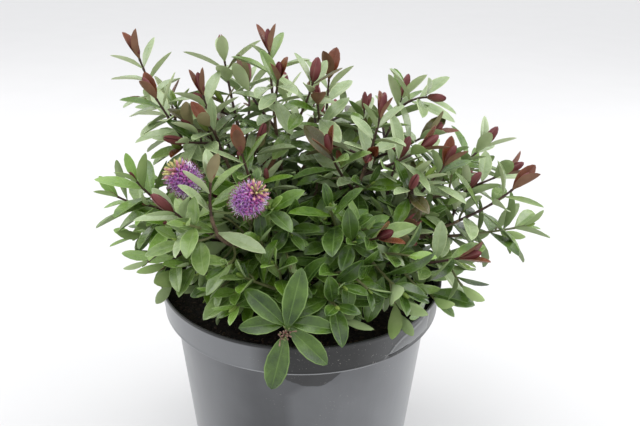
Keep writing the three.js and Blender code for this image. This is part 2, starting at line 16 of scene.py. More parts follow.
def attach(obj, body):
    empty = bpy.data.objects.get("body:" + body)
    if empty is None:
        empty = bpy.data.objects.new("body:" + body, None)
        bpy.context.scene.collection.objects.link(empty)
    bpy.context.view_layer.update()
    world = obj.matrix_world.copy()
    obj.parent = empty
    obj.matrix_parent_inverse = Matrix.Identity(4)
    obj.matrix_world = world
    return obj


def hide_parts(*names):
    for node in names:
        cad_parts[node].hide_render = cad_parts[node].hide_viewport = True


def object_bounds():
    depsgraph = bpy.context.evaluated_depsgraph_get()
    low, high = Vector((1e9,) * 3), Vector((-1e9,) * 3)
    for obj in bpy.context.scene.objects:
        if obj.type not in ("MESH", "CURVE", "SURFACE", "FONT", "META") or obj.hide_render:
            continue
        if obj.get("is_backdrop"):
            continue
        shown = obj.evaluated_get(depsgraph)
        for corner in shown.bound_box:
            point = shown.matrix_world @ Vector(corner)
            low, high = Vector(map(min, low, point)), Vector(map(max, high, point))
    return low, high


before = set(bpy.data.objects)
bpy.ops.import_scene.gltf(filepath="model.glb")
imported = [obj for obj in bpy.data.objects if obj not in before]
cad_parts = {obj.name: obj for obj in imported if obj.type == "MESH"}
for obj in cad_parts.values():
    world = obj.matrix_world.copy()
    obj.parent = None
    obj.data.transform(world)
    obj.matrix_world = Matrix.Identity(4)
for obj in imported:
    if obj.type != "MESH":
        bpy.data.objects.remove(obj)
cad_low, cad_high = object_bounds()
MM = 0.001


# ---- Studio ------------------------------------------------------------------------------------------------
# A table covered in white, seen by someone who stands before it, in a bright room with soft light from above.
# The camera looks down on the plant and is held about a degree out of level.

CAMERA_SPOT, LENS, LOOKS_DOWN, OUT_OF_LEVEL = (0.0171, -0.5891, 0.548), 36.96, 23.6, 1.06
TABLE_WHITES, TABLE_REACH = ((0.685, 0.68, 0.685), (0.71, 0.705, 0.71)), 3e4
ROOM_TINT, ROOM_BRIGHTNESS, BRIGHTEST_WAY = (0.95, 0.96, 0.97, 1), 1.42, (0.0, 0.2, 0.98)
LAMPS = {  # each one's place, size in metres and power in watts
    "ceiling_light": ((-0.5, 0.1, 2.6), 1.6, 14),
    "left_light": ((-2.1, 0.25, 1.0), 1.5, 15),
    "right_light": ((2.1, 0.15, 1.0), 1.5, 23),
}
LIT_SPOT = Vector((0, 0, 0.3))

camera_data = bpy.data.cameras.new("camera")
camera_data.sensor_width = 36.0
camera_data.lens = LENS
camera = bpy.data.objects.new("camera", camera_data)
bpy.context.scene.collection.objects.link(camera)
nod, roll = math.radians(90 - LOOKS_DOWN), math.radians(OUT_OF_LEVEL)
tilt = Matrix.Rotation(nod, 4, "X") @ Matrix.Rotation(roll, 4, "Z")
camera.matrix_world = Matrix.Translation(CAMERA_SPOT) @ tilt
bpy.context.scene.camera = camera
bpy.context.scene.view_settings.view_transform = "Standard"


def join(tree, socket, value):
    """Links a socket to a wire, or sets it to a plain value."""
    if isinstance(value, Wire):
        tree.links.new(value.socket, socket)
    else:
        socket.default_value = value


class Wire:
    """A socket that can be reckoned with: each operator adds a Math node."""

    def __init__(self, tree, socket):
        self.tree, self.socket = tree, socket

    def reckon(self, operation, *values):
        node = self.tree.nodes.new("ShaderNodeMath")
        node.operation = operation
        for socket, value in zip(node.inputs, values):
            join(self.tree, socket, value)
        return Wire(self.tree, node.outputs[0])

    def __add__(self, other):
        return self.reckon("ADD", self, other)

    def __radd__(self, other):
        return self.reckon("ADD", other, self)

    def __sub__(self, other):
        return self.reckon("SUBTRACT", self, other)

    def __rsub__(self, other):
        return self.reckon("SUBTRACT", other, self)

    def __mul__(self, other):
        return self.reckon("MULTIPLY", self, other)

    def __rmul__(self, other):
        return self.reckon("MULTIPLY", other, self)

    def __gt__(self, other):
        return self.reckon("GREATER_THAN", self, other)

    def __abs__(self):
        return self.reckon("ABSOLUTE", self)


class Nodes:
    """A node tree whose nodes are all made in one way."""

    def __init__(self, tree):
        self.tree = tree

    def node(self, kind, output=0, settings=(), **sockets):
        """Adds a node: first its settings, then its sockets' values or links, by name or as i0 by number."""
        node = self.tree.nodes.new(kind)
        for key, value in dict(settings).items():
            setattr(node, key, value)
        for socket, value in sockets.items():
            numbered = socket[0] == "i" and socket[1:].isdigit()
            join(self.tree, node.inputs[int(socket[1:]) if numbered else socket.replace("_", " ")], value)
        return Wire(self.tree, node.outputs[output])

    def parts(self, vector):
        """The three parts of a vector."""
        return [self.node("ShaderNodeSeparateXYZ", axis, Vector=vector) for axis in range(3)]

    def vector(self, operation, output=0, **sockets):
        return self.node("ShaderNodeVectorMath", output, {"operation": operation}, **sockets)


class Finish(Nodes):
    """A material whose nodes are written as expressions on its Principled shader."""

    def __init__(self, name, **constants):
        self.material = bpy.data.materials.new(name)
        self.material.use_nodes = True
        super().__init__(self.material.node_tree)
        self.shader = self.tree.nodes["Principled BSDF"]
        for socket, value in constants.items():
            self.feed(socket.replace("_", " "), value)
        self.place = self.node("ShaderNodeTexCoord", "Object")

    def noise(self, scale, detail=3.0, roughness=0.5, stretch=(1, 1, 1)):
        """Smooth noise from 0 to 1 in the piece's own metres."""
        place = self.node("ShaderNodeMapping", Vector=self.place, Scale=stretch)
        return self.node("ShaderNodeTexNoise", Vector=place, Scale=scale, Detail=detail, Roughness=roughness)

    def mix(self, share, first, second):
        """A colour between two."""
        colours = [c if isinstance(c, Wire) else (*c, 1.0) for c in (first, second)]
        return self.node("ShaderNodeMix", 2, {"data_type": "RGBA"}, i0=share, i6=colours[0], i7=colours[1])

    def ramp(self, value, low, high):
        """0 below low, 1 above high, straight between."""
        return self.node("ShaderNodeMapRange", Value=value, From_Min=low, From_Max=high)

    def feed(self, socket, value):
        join(self.tree, self.shader.inputs[socket], value)

    def bump(self, height, distance, strength=1.0):
        """Raises the surface by this height, in metres at height 1."""
        raised = self.node("ShaderNodeBump", Height=height, Distance=distance, Strength=strength)
        self.feed("Normal", raised)


def piece(name, points, faces, materials, slots=None, sharp=None):
    """A smooth mesh object, its points in millimetres. An edge is sharp where both its ends are marked so."""
    mesh = bpy.data.meshes.new(name)
    mesh.from_pydata((np.asarray(points) * MM).tolist(), [], faces)
    for finish in materials:
        mesh.materials.append(finish.material)
    if slots is not None:
        mesh.polygons.foreach_set("material_index", np.asarray(slots, dtype=np.int32))
    mesh.polygons.foreach_set("use_smooth", np.full(len(mesh.polygons), True))
    if sharp is not None:
        ends = np.empty(len(mesh.edges) * 2, dtype=np.int32)
        mesh.edges.foreach_get("vertices", ends)
        flags = np.asarray(sharp)[ends.reshape(-1, 2)].all(axis=1)
        mesh.attributes.new("sharp_edge", "BOOLEAN", "EDGE").data.foreach_set("value", flags)
    mesh.update()
    made = bpy.data.objects.new(name, mesh)
    bpy.context.scene.collection.objects.link(made)
    return made


cloth = Finish("white_table", Roughness=0.75)
cloth.feed("Base Color", cloth.mix(cloth.noise(6), *TABLE_WHITES))
corners = [(x * TABLE_REACH, y * TABLE_REACH, 0) for x, y in ((-1, -1), (1, -1), (1, 1), (-1, 1))]
table = piece("table", corners, [(0, 1, 2, 3)], [cloth])
table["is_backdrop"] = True

world = bpy.data.worlds.new("room")
bpy.context.scene.world = world
world.use_nodes = True
room, background = Nodes(world.node_tree), world.node_tree.nodes["Background"]
direction = room.node("ShaderNodeTexCoord", "Generated")
upward = room.vector("DOT_PRODUCT", "Value", i0=direction, i1=BRIGHTEST_WAY)
brightness = room.node("ShaderNodeMapRange", Value=upward, From_Min=-1, From_Max=1, To_Max=ROOM_BRIGHTNESS)
join(room.tree, background.inputs["Color"], ROOM_TINT)
join(room.tree, background.inputs["Strength"], brightness)

for name, (spot, size, power) in LAMPS.items():
    light = bpy.data.lights.new(name, "AREA")
    light.size, light.energy = size, power
    lamp = bpy.data.objects.new(name, light)
    bpy.context.scene.collection.objects.link(lamp)
    facing = (LIT_SPOT - Vector(spot)).to_track_quat("-Z", "Y")
    lamp.matrix_world = Matrix.Translation(spot) @ facing.to_matrix().to_4x4()


# ---- Pot ---------------------------------------------------------------------------------------------------
# A thin nursery pot of about ten litres, moulded in black plastic, with a stiffening band round the rim, a
# finger grip pressed up into the band on two sides, and drain holes in the base. It is hazed with dust. Its
# colour also holds painted light: painted reflections on the wall's sides and right and on the band, painted
# highlights on the grips and along the band's lower lip, and painted shade inside, under the band in front
# and in the grips' slots.

RIM_RADIUS, POT_HEIGHT, BAND_HEIGHT, BAND_FOOT, NECK, BASE = 140, 230, 29, 137, 128, 111
WALL, FLOOR = 2.0, 2.5
BAND_Z = POT_HEIGHT - BAND_HEIGHT
BAND_SLOPE = (RIM_RADIUS - BAND_FOOT) / BAND_HEIGHT
DRAIN_HOLES, HOLE_RADIUS, HOLE_RING = 6, 8, 84
GRIPS, GRIP_REACH = (-44, 136), 13  # each finger grip's bearing and its reach to either side, in degrees
# The ridge over a grip: bearings from the grip's middle, and heights.
CREASE = ((-13, -10.5, -8, -4.5, 0, 6, 10.5), (202.5, 206, 213, 218.5, 221, 224, 229))


def turned(profile, angles, warp=None):
    """A profile of radius and height turned round the pot's axis, and closed where it meets the axis."""
    count = len(angles)
    points, faces, rows = [], [], []
    for radius, height in profile:
        start = len(points)
        if radius == 0:
            points.append((0, 0, height))
            rows.append([start] * count)
        else:
            points += [(radius * math.cos(a), radius * math.sin(a), height) for a in angles]
            rows.append(list(range(start, start + count)))
    for lower, upper in zip(rows, rows[1:]):
        for i in range(count):
            ring = (lower[i], lower[(i + 1) % count], upper[(i + 1) % count], upper[i])
            faces.append(tuple(dict.fromkeys(ring)))
    points = np.array(points, float)
    return (warp(points) if warp else points), faces


def arc(centre, radius, start, end, steps):
    """Points of a profile round a corner, from one angle to another, in degrees."""
    angles = np.radians(np.linspace(start, end, steps))
    return [(centre[0] + radius * math.cos(a), centre[1] + radius * math.sin(a)) for a in angles]


def pot_radius(z):
    """The wall's outer radius below the band."""
    return BASE + (NECK - BASE) * z / BAND_Z


def band_radius(z):
    return BAND_FOOT + BAND_SLOPE * (z - BAND_Z)


def grip_shape(points):
    """Each point's share of the grips' crease, of the panel that leans out under it, and of the slot."""
    bearing = np.degrees(np.arctan2(points[:, 1], points[:, 0]))
    band = (points[:, 2] > BAND_Z - 3) & (np.hypot(points[:, 0], points[:, 1]) > NECK + 2)
    crease, panel, slot = np.zeros((3, len(points)))
    for centre in GRIPS:
        off = (bearing - centre + 180) % 360 - 180
        near = band * np.clip((GRIP_REACH - np.abs(off)) / 2, 0, 1)
        below_crease = np.interp(off, *CREASE) - points[:, 2]
        above_slot = points[:, 2] - BAND_Z - 3.2 - 0.25 * (off + 12)
        lean = 0.35 + 0.65 * below_crease / (below_crease + np.clip(above_slot, 0.1, 99))
        crease += near * np.exp(-((below_crease / 0.9) ** 2))
        panel += near * np.clip(below_crease / 0.8, 0, 1) * np.clip(above_slot / 0.6, 0, 1) * lean
        slot_length = np.clip((off + 12) / 2, 0, 1) * np.clip(-off / 4, 0, 1)
        slot += near * np.exp(-((above_slot / 1.1) ** 2)) * slot_length
    return crease, panel, slot


def press_grips(points):
    """Presses the finger grips up into the band, and lets the thin wall run a little out of round."""
    bearing = np.arctan2(points[:, 1], points[:, 0])
    radius = np.hypot(points[:, 0], points[:, 1])
    crease, panel, slot = grip_shape(points)
    wander = 0.35 * np.sin(2 * bearing + 0.7) + 0.2 * np.sin(5 * bearing + 0.17)
    wander *= np.clip(points[:, 2] / BAND_Z, 0, 1) * (radius > 100)
    swell = wander + 0.6 * crease + 1.9 * panel - 3.4 * slot
    points[:, :2] *= (1 + swell / np.maximum(radius, 1))[:, None]
    return points


# The profile runs from the middle of the underside over the foot, up the wall, round the neck and the band's
# lower lip, up the band, over the rim and down inside to the middle of the floor.
pot_profile = [(0, 1.6), (70, 1.6), (92, 1.4), (95, 0), (BASE - 5, 0)]
pot_profile += arc((BASE - 4.5, 4.5), 4.5, -80, -8, 6)
pot_profile += [(pot_radius(z), z) for z in np.linspace(9, BAND_Z - 3, 16)]
pot_profile += arc((NECK + 2.0, BAND_Z - 2.4), 2.0, 180, 90, 4)
pot_profile += [(BAND_FOOT - 2.2, BAND_Z - 0.4), (BAND_FOOT - 0.9, BAND_Z - 0.5)]
pot_profile += arc((BAND_FOOT - 0.7, BAND_Z + 0.8), 1.2, -70, 10, 5)
pot_profile += [(band_radius(z), z) for z in np.linspace(BAND_Z + 2.6, POT_HEIGHT - 6, 30)]
pot_profile += [(RIM_RADIUS - 0.5, POT_HEIGHT - 4.2), (RIM_RADIUS - 0.1, POT_HEIGHT - 2.6)]
pot_profile += arc((RIM_RADIUS - 1.2, POT_HEIGHT - 1.3), 1.2, 10, 170, 7)
pot_profile += [(RIM_RADIUS - 2.6, POT_HEIGHT - 3.5)]
pot_profile += [(band_radius(z) - WALL, z) for z in np.linspace(POT_HEIGHT - 7, BAND_Z + 3, 12)]
pot_profile += [(NECK - WALL + 3, BAND_Z + 0.8), (NECK - WALL, BAND_Z - 1.5)]
pot_profile += [(pot_radius(z) - WALL, z) for z in np.linspace(BAND_Z - 4, 8, 10)]
pot_profile += [(BASE - 5, FLOOR + 0.6), (BASE - 9, FLOOR), (0, FLOOR)]
grip_bearings = [(grip + np.arange(-14, 14, 0.5)) % 360 for grip in GRIPS]
pot_bearings = np.unique(np.concatenate([np.arange(0, 360, 2), *grip_bearings]))
pot_points, pot_faces = turned(pot_profile, np.radians(pot_bearings), press_grips)

BODY_GREYS = ((0.038, 0.040, 0.045), (0.20, 0.207, 0.22))
BAND_GREYS = ((0.004, 0.0045, 0.005), (0.165, 0.171, 0.182))
BAND_SHADOW_BLACK, INSIDE_SHADE_BLACK, SLOT_SHADOW_BLACK = (0.012, 0.012, 0.013), (0.010, 0.011, 0.012), (0.006, 0.006, 0.007)
LIP_HIGHLIGHT_GREY, GRIP_HIGHLIGHT_GREY, DUST_GREY = (0.34, 0.35, 0.36), (0.36, 0.37, 0.38), (0.38, 0.36, 0.33)

plastic = Finish("black_plastic", Specular_IOR_Level=0.5, IOR=1.5, Sheen_Weight=0.25, Sheen_Roughness=0.4)
across, deep, height = plastic.parts(plastic.place)


def rises(low, high):
    """0 below one height over the band's foot, 1 above another."""
    return plastic.ramp(height, (BAND_Z + low) * MM, (BAND_Z + high) * MM)


grain = plastic.noise(900, 2)
haze = plastic.noise(9, 4, 0.55)
streaks = plastic.noise(30, 3, 0.6, (1, 1, 0.12))
worn = plastic.ramp(haze, 0.35, 0.7)
on_band = rises(-2, -1)
off_centre = abs(across - 0.012)
# The wall is painted greyest at its sides and on its right: painted reflections of the side lights.
right_reflection = across - 0.026 * rises(-32, -8) + 0.012 * haze
right_reflection = 0.28 * plastic.ramp(right_reflection, -0.006, 0.004) + 0.1 * plastic.ramp(across, 0.01, 0.06)
sideways = plastic.ramp(off_centre, 0.05, 0.125)
body_grey = plastic.mix(worn * 0.3 + 0.2 * streaks + 0.5 * sideways + right_reflection, *BODY_GREYS)
# The band is painted light grey on its left and at its right end: a painted reflection of the side lights,
# varied by the haze.
band_reflection = plastic.ramp(across + 0.02 * haze, -0.002, -0.03) + 0.22 * plastic.ramp(across, 0.05, 0.08)
band_grey = plastic.mix(band_reflection * (0.85 + 0.3 * worn), *BAND_GREYS)
# A ragged dark patch is painted under the band in front: a painted shadow of the band.
ragged = 0.008 * plastic.noise(45, 3) - 18.6 * off_centre * off_centre
band_shadow = plastic.ramp(height + ragged, (BAND_Z - 17.6) * MM, (BAND_Z - 16.4) * MM) * (1 - on_band)
band_shadow = band_shadow * plastic.ramp(deep, -0.09, -0.11)
coloured = plastic.mix(on_band, plastic.mix(band_shadow * 0.85, body_grey, BAND_SHADOW_BLACK), band_grey)
# The band's lower lip is painted light grey, most in the middle of the front and back: a painted highlight.
lip = rises(-0.9, -0.6) * rises(1.4, 0.9)
lip_highlight = lip * (0.06 * plastic.ramp(haze, 0.4, 0.6) + 0.7 * plastic.ramp(off_centre, 0.07, 0.05))
coloured = plastic.mix(lip_highlight, coloured, LIP_HIGHLIGHT_GREY)
# The band's inner face and the rim's top are painted near black, the inner face as painted shade inside the
# pot.
from_axis = plastic.vector("LENGTH", "Value", i0=plastic.node("ShaderNodeCombineXYZ", X=across, Y=deep))
inner_face = (BAND_FOOT - 0.8) * MM + (height - BAND_Z * MM) * BAND_SLOPE - from_axis
inside = plastic.ramp(inner_face, 0, 0.0003) * on_band
inside_shade = plastic.ramp(inside + rises(BAND_HEIGHT - 3.2, BAND_HEIGHT - 2), 0, 1)
coloured = plastic.mix(inside_shade, coloured, INSIDE_SHADE_BLACK)
# The grips' crease and panel are painted light grey as a painted highlight, and their slots near black as a
# painted shadow.
for mark, colour in (("rubbed", GRIP_HIGHLIGHT_GREY), ("slot", SLOT_SHADOW_BLACK)):
    share = plastic.node("ShaderNodeAttribute", 2, {"attribute_name": mark})
    coloured = plastic.mix(share, coloured, colour)
specks = plastic.ramp(plastic.noise(560, 2, 0.7), 0.67, 0.71)
dusty = plastic.noise(24, 2) + 0.12 * on_band - 2.2 * abs(across - 0.03)
dust = specks * plastic.ramp(dusty, 0.40, 0.58)
plastic.feed("Base Color", plastic.mix(dust * 0.6, coloured, DUST_GREY))
plastic.feed("Roughness", 0.28 + 0.18 * worn + 0.3 * dust)
plastic.bump(grain * 0.5 + streaks * 2 + dust, 0.00012, 0.6)

pot = piece("nursery_pot", pot_points, pot_faces, [plastic])
drill_profile = [(0, -4), (HOLE_RADIUS, -4), (HOLE_RADIUS, 8), (0, 8)]
drill_points, drill_faces = turned(drill_profile, np.radians(np.arange(0, 360, 18)))
drills = []
for number in range(DRAIN_HOLES):
    a = math.radians(360 / DRAIN_HOLES * number)
    spot = (HOLE_RING * math.cos(a), HOLE_RING * math.sin(a), 0)
    drills.append(piece("drill", drill_points + spot, drill_faces, [plastic]))
    cut = pot.modifiers.new("drain_hole", "BOOLEAN")
    cut.operation, cut.solver, cut.object = "DIFFERENCE", "EXACT", drills[-1]
drilled = bpy.data.meshes.new_from_object(pot.evaluated_get(bpy.context.evaluated_depsgraph_get()))
pot.modifiers.clear()
pot.data = drilled
for drill in drills:
    bpy.data.objects.remove(drill)
# The grips' crease and panel carry a painted highlight, and their slots a painted shadow.
crease, panel, slot = grip_shape(np.array([v.co for v in drilled.vertices]) / MM)
marks = {"rubbed": np.clip(0.5 * panel + 0.7 * crease, 0, 0.85), "slot": np.clip(slot * 1.3, 0, 1)}
for mark, values in marks.items():
    drilled.attributes.new(mark, "FLOAT", "POINT").data.foreach_set("value", values.astype(np.float32))
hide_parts("pot")
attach(pot, "root")


# ---- Compost -----------------------------------------------------------------------------------------------
# Moist peat and fine bark, filled to two fingers below the rim and mounded a little to the stem. Chips of
# bark lie loose on it.

COMPOST_EDGE, COMPOST_CROWN, WAVES = 212.0, 216.0, 24
PEAT_BROWNS = ((0.004, 0.0035, 0.003), (0.026, 0.018, 0.012))
CHIP_BROWNS = ((0.009, 0.006, 0.005), (0.08, 0.048, 0.028))
rng = np.random.default_rng(11)
ripples = [(rng.uniform(0.02, 0.16, 2), rng.uniform(0, 6.3), rng.uniform(0.2, 0.9)) for _ in range(WAVES)]


def compost_height(x, y):
    """The compost's surface: a low mound with lumps, level under the stem."""
    radius = np.hypot(x, y)
    signs = [1, -1] * (WAVES // 2)
    lumps = sum(h * np.sin(f[0] * x * s + f[1] * y + p) for (f, p, h), s in zip(ripples, signs))
    fade = np.clip((radius - 16) / 14, 0, 1) * np.clip((133 - radius) / 8, 0, 1)
    mound = (COMPOST_CROWN - COMPOST_EDGE) * np.clip(1 - radius / 130, 0, 1) ** 0.8
    return COMPOST_EDGE + mound + 0.42 * lumps * fade


def fill_surface(points):
    """Lifts the top's points to the compost's surface, crumbly but for the ring along the pot's wall."""
    top = points[:, 2] > COMPOST_EDGE - 0.5
    points[top, 2] = compost_height(points[top, 0], points[top, 1])
    loose = np.hypot(points[:, 0], points[:, 1]) < 128
    points[:, 2] += rng.normal(0, 0.45, len(points)) * top * loose
    return points


soil_profile = [(0, FLOOR + 0.3), (BASE - 3, FLOOR + 0.3), (NECK - WALL - 0.6, BAND_Z - 1.5)]
soil_profile += [(BAND_FOOT - WALL - 1.2, BAND_Z + 4), (band_radius(COMPOST_EDGE) - WALL - 0.6, COMPOST_EDGE)]
soil_profile += [(r, COMPOST_EDGE) for r in np.linspace(134, 2, 60)] + [(0, COMPOST_EDGE)]
soil_points, soil_faces = turned(soil_profile, np.radians(np.arange(0, 360, 2.5)), fill_surface)

peat = Finish("moist_peat", Roughness=0.92, Specular_IOR_Level=0.25)
crumbs = peat.noise(260, 4, 0.7)
peat.feed("Base Color", peat.mix(peat.ramp(crumbs, 0.38, 0.68), *PEAT_BROWNS))
peat.bump(crumbs + 0.4 * peat.noise(900, 2), 0.0016)
compost = piece("compost", soil_points, soil_faces, [peat])

chip = Finish("bark_chip", Roughness=0.85, Specular_IOR_Level=0.3)
chip.feed("Base Color", chip.mix(chip.noise(120, 3), *CHIP_BROWNS))
chip.bump(chip.noise(700, 3), 0.0004)


class Maker(Nodes):
    """A Geometry Nodes tree that makes one piece out of a base mesh, with named inputs for what varies."""

    def __init__(self, name, **inputs):
        super().__init__(bpy.data.node_groups.new(name, "GeometryNodeTree"))
        for label, kind in {"Base": "Geometry", **inputs}.items():
            self.tree.interface.new_socket(label, in_out="INPUT", socket_type=f"NodeSocket{kind}")
        self.tree.interface.new_socket("Made", in_out="OUTPUT", socket_type="NodeSocketGeometry")
        self.entry = self.tree.nodes.new("NodeGroupInput")

    def given(self, label):
        return Wire(self.tree, self.entry.outputs[label])

    def attribute(self, name, kind="FLOAT_VECTOR"):
        return self.node("GeometryNodeInputNamedAttribute", 0, {"data_type": kind}, Name=name)

    def random(self, low, high, **sockets):
        """A random vector or number from low to high, one for each point."""
        vectors = isinstance(low, tuple)
        kind, first = ("FLOAT_VECTOR", 0) if vectors else ("FLOAT", 2)
        sockets |= {f"i{first}": low, f"i{first + 1}": high}
        return self.node("FunctionNodeRandomValue", 0 if vectors else 1, {"data_type": kind}, **sockets)

    def ends_with(self, geometry):
        join(self.tree, self.tree.nodes.new("NodeGroupOutput").inputs[0], geometry)

    def make(self, base, **values):
        """Runs the tree on an object's mesh and leaves the plain mesh that comes out in its place."""
        modifier = base.modifiers.new(self.tree.name, "NODES")
        modifier.node_group = self.tree
        for item in self.tree.interface.items_tree:
            if item.name in values:
                modifier[item.identifier] = values[item.name]
        made = bpy.data.meshes.new_from_object(base.evaluated_get(bpy.context.evaluated_depsgraph_get()))
        base.modifiers.clear()
        base.data = made
        made.name = base.name
        if made.materials[0] is None:  # the slot that Set Material adds for faces it leaves out
            made.materials.pop(index=0)


CHIP_REACH, STEM_CLEARING = 128, 20  # the ring of compost on which chips lie
CHIP_DENSITY, CHIP_SIZE = 30000.0, 1.0  # chips per square metre, and the size from which they vary
scatter = Maker("scattered_chips", Density="Float", Size="Float", Seed="Int", Chip="Material")
spot = scatter.node("GeometryNodeInputPosition")
from_stem = scatter.vector("LENGTH", "Value", i0=scatter.vector("MULTIPLY", i0=spot, i1=(1, 1, 0)))
on_top = scatter.parts(spot)[2] > (COMPOST_EDGE - 3) * MM
in_ring = on_top * (from_stem > STEM_CLEARING * MM) * (1 - (from_stem > CHIP_REACH * MM))
seats = scatter.node(
    "GeometryNodeDistributePointsOnFaces", Mesh=scatter.given("Base"), Selection=in_ring,
    Density=scatter.given("Density"), Seed=scatter.given("Seed"),
)
crumb = scatter.node("GeometryNodeMeshIcoSphere", Radius=scatter.given("Size"), Subdivisions=1)
turn = scatter.random((-0.6, -0.2, 0), (0.6, 0.2, 6.28), Seed=1)
stretched = scatter.random((0.8, 0.7, 0.4), (2.6, 1.3, 0.9), Seed=2)
size = scatter.vector("SCALE", i0=stretched, Scale=scatter.random(0.5, 1.3, Seed=3))
strewn = scatter.node("GeometryNodeInstanceOnPoints", Points=seats, Instance=crumb, Rotation=turn, Scale=size)
strewn = scatter.node("GeometryNodeRealizeInstances", Geometry=strewn)
swell = scatter.random(-0.28, 0.22, Seed=4) * scatter.given("Size")
uneven = scatter.vector("SCALE", i0=scatter.node("GeometryNodeInputNormal"), Scale=swell)
strewn = scatter.node("GeometryNodeSetPosition", Geometry=strewn, Offset=uneven)
strewn = scatter.node("GeometryNodeSetShadeSmooth", Geometry=strewn, Shade_Smooth=False)
scatter.ends_with(scatter.node("GeometryNodeSetMaterial", Geometry=strewn, Material=scatter.given("Chip")))
chips = piece("bark_chips", soil_points, soil_faces, [])
scatter.make(chips, Density=CHIP_DENSITY, Size=CHIP_SIZE * MM, Seed=4, Chip=chip.material)
for bed in (compost, chips):
    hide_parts("potting_compost")
    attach(bed, "root")


# ---- Growth ------------------------------------------------------------------------------------------------
# How the plant branches, by the rule that its solids follow. Each row is a mass of foliage: its leading bud's
# bearing, reach and height, how high its bough arches, its first side shoot's turn, and how many side shoots
# and low shoots it has.

Mass = namedtuple("Mass", "name bearing reach height arch turn sides lows")
MASSES = tuple(Mass(*row) for row in (
    ("left_tall", 169, 163, 452, 0, 40, 2, 1), ("left_rear", 145, 100, 451, 0, 200, 2, 1),
    ("centre", 139, 45, 461, 0, 120, 3, 0), ("centre_right", 61, 50, 434, 0, 300, 3, 0),
    ("right_rear", 40, 138, 410, 0, 80, 3, 1), ("right_inner", 349, 74, 412, 0, 150, 3, 0),
    ("left_inner", 180, 95, 426, 0, 60, 3, 0), ("front_inner", 222, 74, 387, 0, 10, 3, 1),
    ("front_left", 236, 120, 381, 0, 250, 2, 2), ("left", 198, 158, 348, 0, 100, 3, 1),
    ("right", 351, 140, 369, 0, 30, 2, 1), ("right_far", 354, 209, 344, 0, 270, 2, 1),
    ("right_back", 17, 205, 364, 0, 190, 2, 1), ("right_low", 334, 176, 290, 10, 110, 2, 1),
    ("front", 267, 158, 250, 38, 20, 2, 2), ("front_right", 306, 130, 322, 10, 330, 3, 1),
    ("front_low_left", 244, 128, 262, 24, 90, 2, 1), ("front_low_right", 287, 120, 274, 20, 240, 1, 1),
    ("left_low", 221, 138, 278, 20, 140, 2, 1), ("back_left", 133, 172, 372, 0, 75, 2, 1),
    ("back", 100, 150, 398, 0, 210, 3, 1), ("back_right", 66, 178, 352, 0, 160, 2, 1),
    ("left_back_low", 160, 148, 286, 14, 35, 1, 1), ("right_back_low", 36, 165, 292, 14, 125, 1, 1),
    ("back_low", 112, 182, 288, 15, 45, 2, 1),
))
MASS_NAMES = [mass.name for mass in MASSES]
STEM_FOOT, STEM_HEIGHT, STEM_LEAN = COMPOST_CROWN + 0.3, 52, math.tan(math.radians(3))
RING_HEIGHTS = (13, 28.5, 44)  # over the stem's foot, where its boughs fork off
FORK = 0.36  # how far along the line from stem to bud the bough gives way to its foliage
GOLDEN_ANGLE = 137.5
SIDE_REACH, SIDE_DROP = 48, 34  # how far a side shoot ends beside the leading bud, and below it
LOWEST_BUD = 250  # no shoot but the lying one ends lower
SHOOT_GAP, EDGE_GAP, FINER_GAP, SHADED_GAP = 8, 6, 9, 6  # what each kind of shoot keeps to the others
# Shoots that stand out at the crown's edge beyond what the solids grow: each one's mass, and its bud's place.
EDGE_SHOOTS = (
    ("right_rear", (86, 90, 410)), ("right_rear", (144, 70, 413)), ("right_rear", (137, 40, 397)),
    ("right_back", (213, 80, 362)), ("right_inner", (57, -45, 361)), ("right_low", (143, -70, 307)),
    ("right_low", (192, -40, 252)), ("left", (-153, -40, 349)),
)
# The flower heads: how far below the shoot's tip each stalk leaves it, and the head's foot and tip by their
# bearing, reach and height.
FLOWERS = ((44, (230, 128, 349), (226, 145, 375)), (44, (243, 115, 334), (258, 123, 366)))
BENT_THROUGH = (236, 150, 282)  # where the flowering shoot leans out lowest
SKIRT_HEIGHT = 292  # a shoot whose tip is lower belongs to the skirt over the rim
LYING_CLEARING = 42  # kept free of finer shoots round the lying shoot's tip
OPEN_CROWN = np.array([-75.0, -20.0, 335.0])  # past this corner the crown stays open, and light shows in it
UP = np.array([0.0, 0.0, 1.0])


def seeded(seed):
    """The same numbers from 0 to 1 as in the part's source."""
    state = seed & 0xFFFFFFFF
    while True:
        state = (state + 0x6D2B79F5) & 0xFFFFFFFF
        t = ((state ^ (state >> 15)) * (state | 1)) & 0xFFFFFFFF
        t ^= (t + (((t ^ (t >> 7)) * (t | 61)) & 0xFFFFFFFF)) & 0xFFFFFFFF
        yield (t ^ (t >> 14)) / 4294967296


def cylindrical(bearing, reach, height):
    """A place by its bearing in degrees, its reach from the axis and its height."""
    a = math.radians(bearing)
    return np.array([reach * math.cos(a), reach * math.sin(a), height])


def unit(v):
    return v / np.linalg.norm(v)


def square_to(direction):
    """Two directions square to this one: one level, and one that leans up."""
    level = np.cross(UP, direction)
    level = unit(level) if np.linalg.norm(level) > 1e-3 else np.array([1.0, 0, 0])
    return level, unit(np.cross(direction, level))


def around(direction, degrees):
    """A direction square to this one, at an angle from the level one."""
    level, over = square_to(direction)
    a = math.radians(degrees)
    return level * math.cos(a) + over * math.sin(a)


